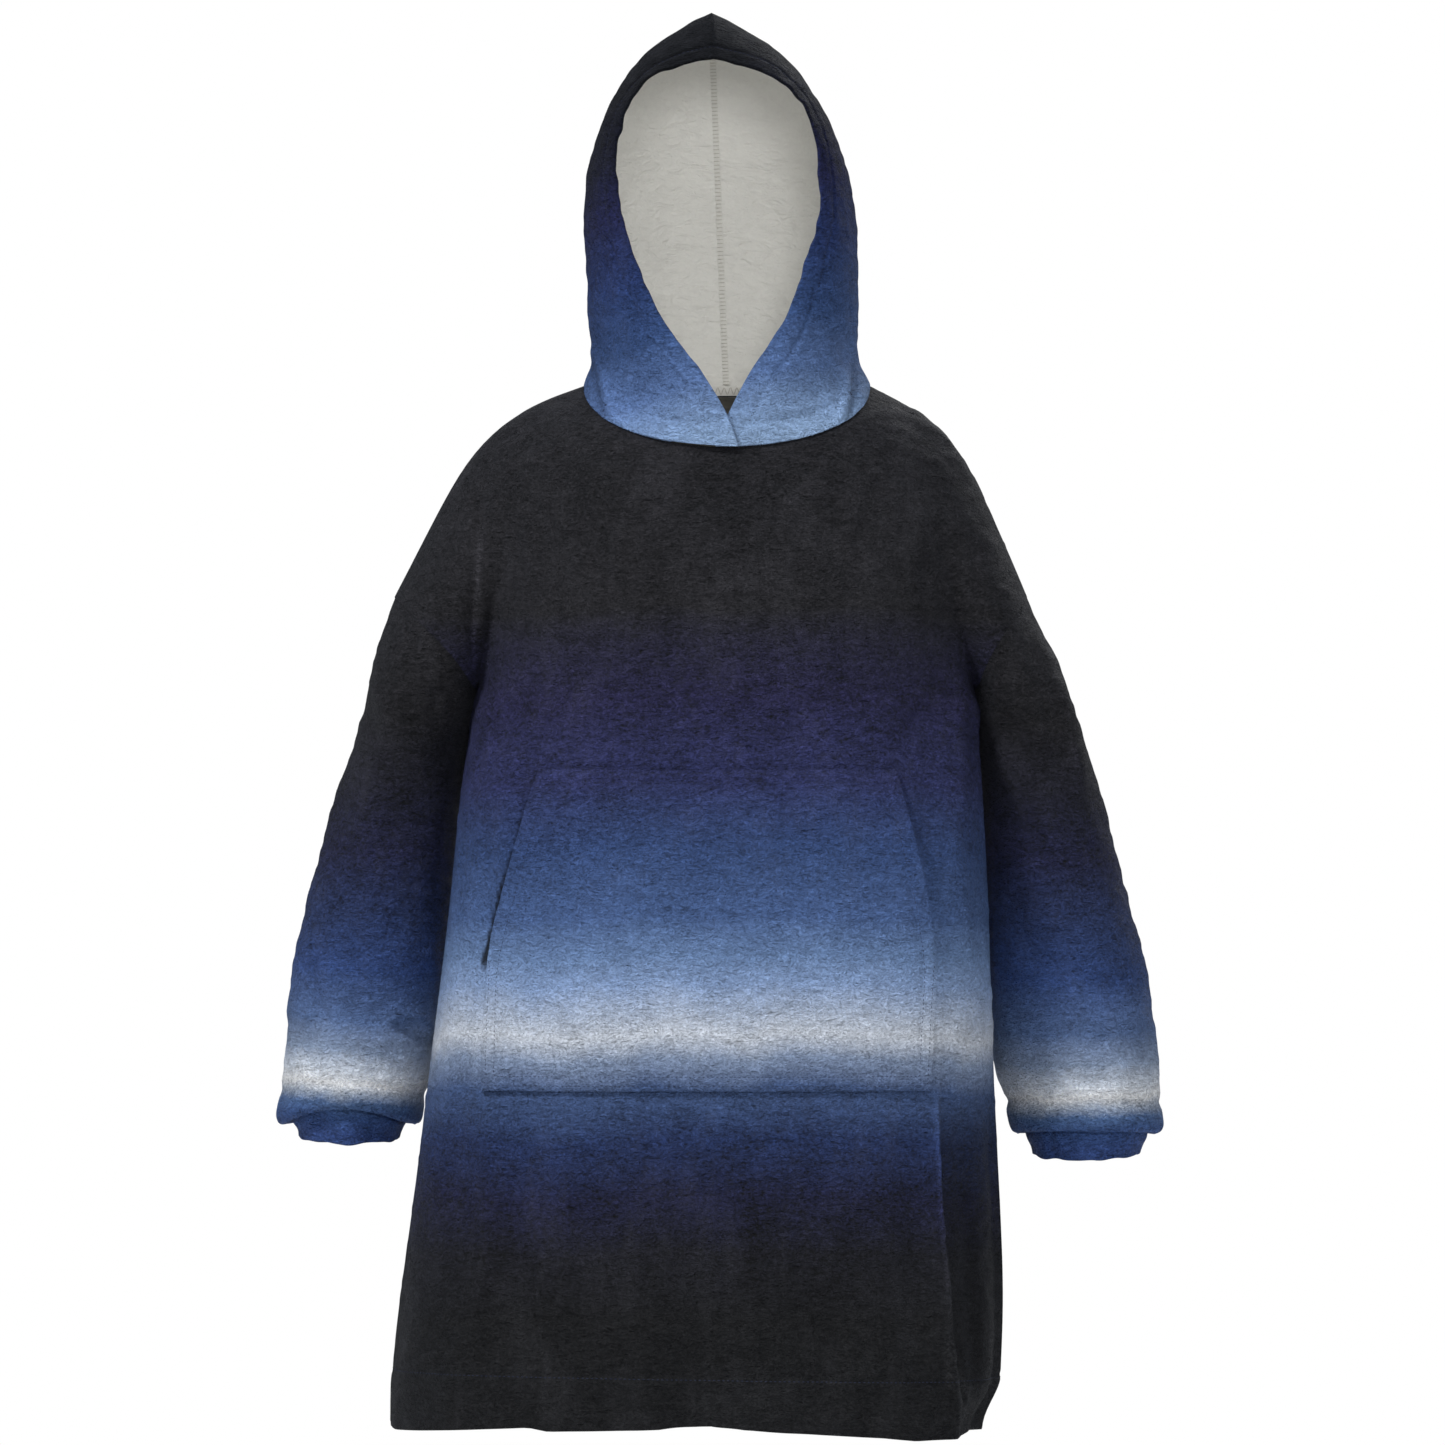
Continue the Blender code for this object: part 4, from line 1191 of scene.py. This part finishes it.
# The cover of the hood's centre seam, inside, and the ladder of thread on it.
between = along_seams["hood_left"]
centre = np.abs(between[:, 0] + 0.003) < 0.03
between = between[(between[:, 2] > 0.012) & (between[:, 1] > -0.09) & centre]
line, inside = in_order(between, facing(between, (0, 0, 0.14), 0), (0, 0.14), [1, 2])
line, inside = evenly(smoothed(line), smoothed(inside), 0.004, 0.05)
line = line + unit(inside) * 1.7 * MM
wide = np.tile([1.0, 0, 0], (len(line), 1))
band("hood_seam_cover", line, unit(inside), wide, 0.0068, 0.0009, "cream_tape")
size = (0.0066, 0.0010)
stitch_row("hood_seam_thread", line, unit(inside), size, "cream_thread", ACROSS, 0.0, 0.9 * MM)

# The overlocked neck seam, inside, from one side of the lap round to the other. It runs straight
# past the middle of the back, where the seam's own points are uneven.
neck = np.concatenate([along_seams["hood_left"], along_seams["hood_right"]])
neck = neck[(neck[:, 2] < 0.016) & (neck[:, 1] > -0.055) & (np.abs(neck[:, 0]) > 0.007)]
line, inside = in_order(neck, facing(neck, (0, 0.01, 0), 2), (0, 0.01), [1, 0])
line, inside = evenly(smoothed(line), smoothed(inside), 0.003, 0.05)
inside = unit(inside)
line = line + inside * 2.0 * MM + np.array([0, 0, 0.8 * MM])
rise = unit(np.cross(inside, unit(np.gradient(line, axis=0))))
band("neck_overlock", line, inside, rise, 0.0085, 0.0009, "cream_tape")
size = (0.0082, 0.0010)
stitch_row("neck_thread", line, inside, size, "cream_thread", ACROSS, 0.35, 0.9 * MM)

# The rows of stitches of the hem, the hood's edge and the pocket.
edge_row(
    "hem_thread",
    ("front", "back"),
    off_hem_row,
    0.0,
    lambda points: points[:, 2] < -0.8,
    (-0.03, 0),
    [0, 1],
    4.2 * MM,
    (3.0 * MM, 0.7 * MM),
)
edge_row(
    "hood_edge_thread",
    ("hood_left", "hood_right"),
    off_free_edge,
    HOOD_EDGE_ROW,
    lambda points: points[:, 2] > -0.03,
    (-0.006, 0.16),
    [0, 2],
    4.0 * MM,
    (2.7 * MM, 0.6 * MM),
)
for name, value_of, level in (
    ("pocket_edge_thread", off_free_edge, POCKET_EDGE_ROW),
    ("pocket_seam_thread", off_seam, POCKET_SEAM_ROW),
):
    edge_row(
        name,
        ("pocket",),
        value_of,
        level,
        lambda points: points[:, 2] < 0,
        (POCKET_MIDDLE, -0.46),
        [0, 2],
        4.0 * MM,
        (2.6 * MM, 0.6 * MM),
    )

# The floor.
ground = bmesh.new()
bmesh.ops.create_grid(ground, x_segments=1, y_segments=1, size=2.5)
bmesh.ops.translate(ground, verts=ground.verts, vec=(0, 0, -1.4))
data = bpy.data.meshes.new("floor")
ground.to_mesh(data)
ground.free()
floor = bpy.data.objects.new("floor", data)
bpy.context.scene.collection.objects.link(floor)
pale = Finish("floor_pale", Roughness=0.9, Base_Color=(0.8, 0.8, 0.8, 1))
data.materials.append(pale.material)

# The room is white to the camera and dim to the cloth.
AMBIENT = 0.33
world = bpy.data.worlds.new("studio")
bpy.context.scene.world = world
world.use_nodes = True
studio = world.node_tree
wall = studio.nodes["Background"]
wall.inputs["Color"].default_value = (1, 1, 1, 1)
wall.inputs["Strength"].default_value = 1.0
dim = studio.nodes.new("ShaderNodeBackground")
dim.inputs["Color"].default_value = (0.93, 0.96, 1.0, 1)
dim.inputs["Strength"].default_value = AMBIENT
seen = studio.nodes.new("ShaderNodeLightPath")
either = studio.nodes.new("ShaderNodeMixShader")
studio.links.new(seen.outputs["Is Camera Ray"], either.inputs[0])
studio.links.new(dim.outputs[0], either.inputs[1])
studio.links.new(wall.outputs[0], either.inputs[2])
studio.links.new(either.outputs[0], studio.nodes["World Output"].inputs[0])

soft_light("key", (-2.6, -3.2, 4.4), (0, 0, -0.3), 1.2, 320)
soft_light("fill", (3.8, -3.4, 0.4), (0, 0, -0.3), 2.4, 30)
soft_light("front", (0.3, -7.0, 1.0), (0, 0, -0.2), 1.8, 165)
soft_light("behind", (2.0, 4.5, 2.5), (0, 0, -0.3), 2.4, 100)

# A long lens far in front. Its picture is as wide as 1445 pixels of the photo at 0.9 mm.
VIEW_WIDTH = 1.3005
lens = bpy.data.cameras.new("camera")
lens.lens = 400
lens.sensor_width = 36
camera = bpy.data.objects.new("camera", lens)
bpy.context.scene.collection.objects.link(camera)
camera.location = (-0.004, -VIEW_WIDTH * lens.lens / lens.sensor_width, -0.29)
camera.rotation_euler = (math.radians(90), 0, 0)
lens.clip_end = 100
bpy.context.scene.camera = camera
bpy.context.scene.view_settings.view_transform = "Standard"
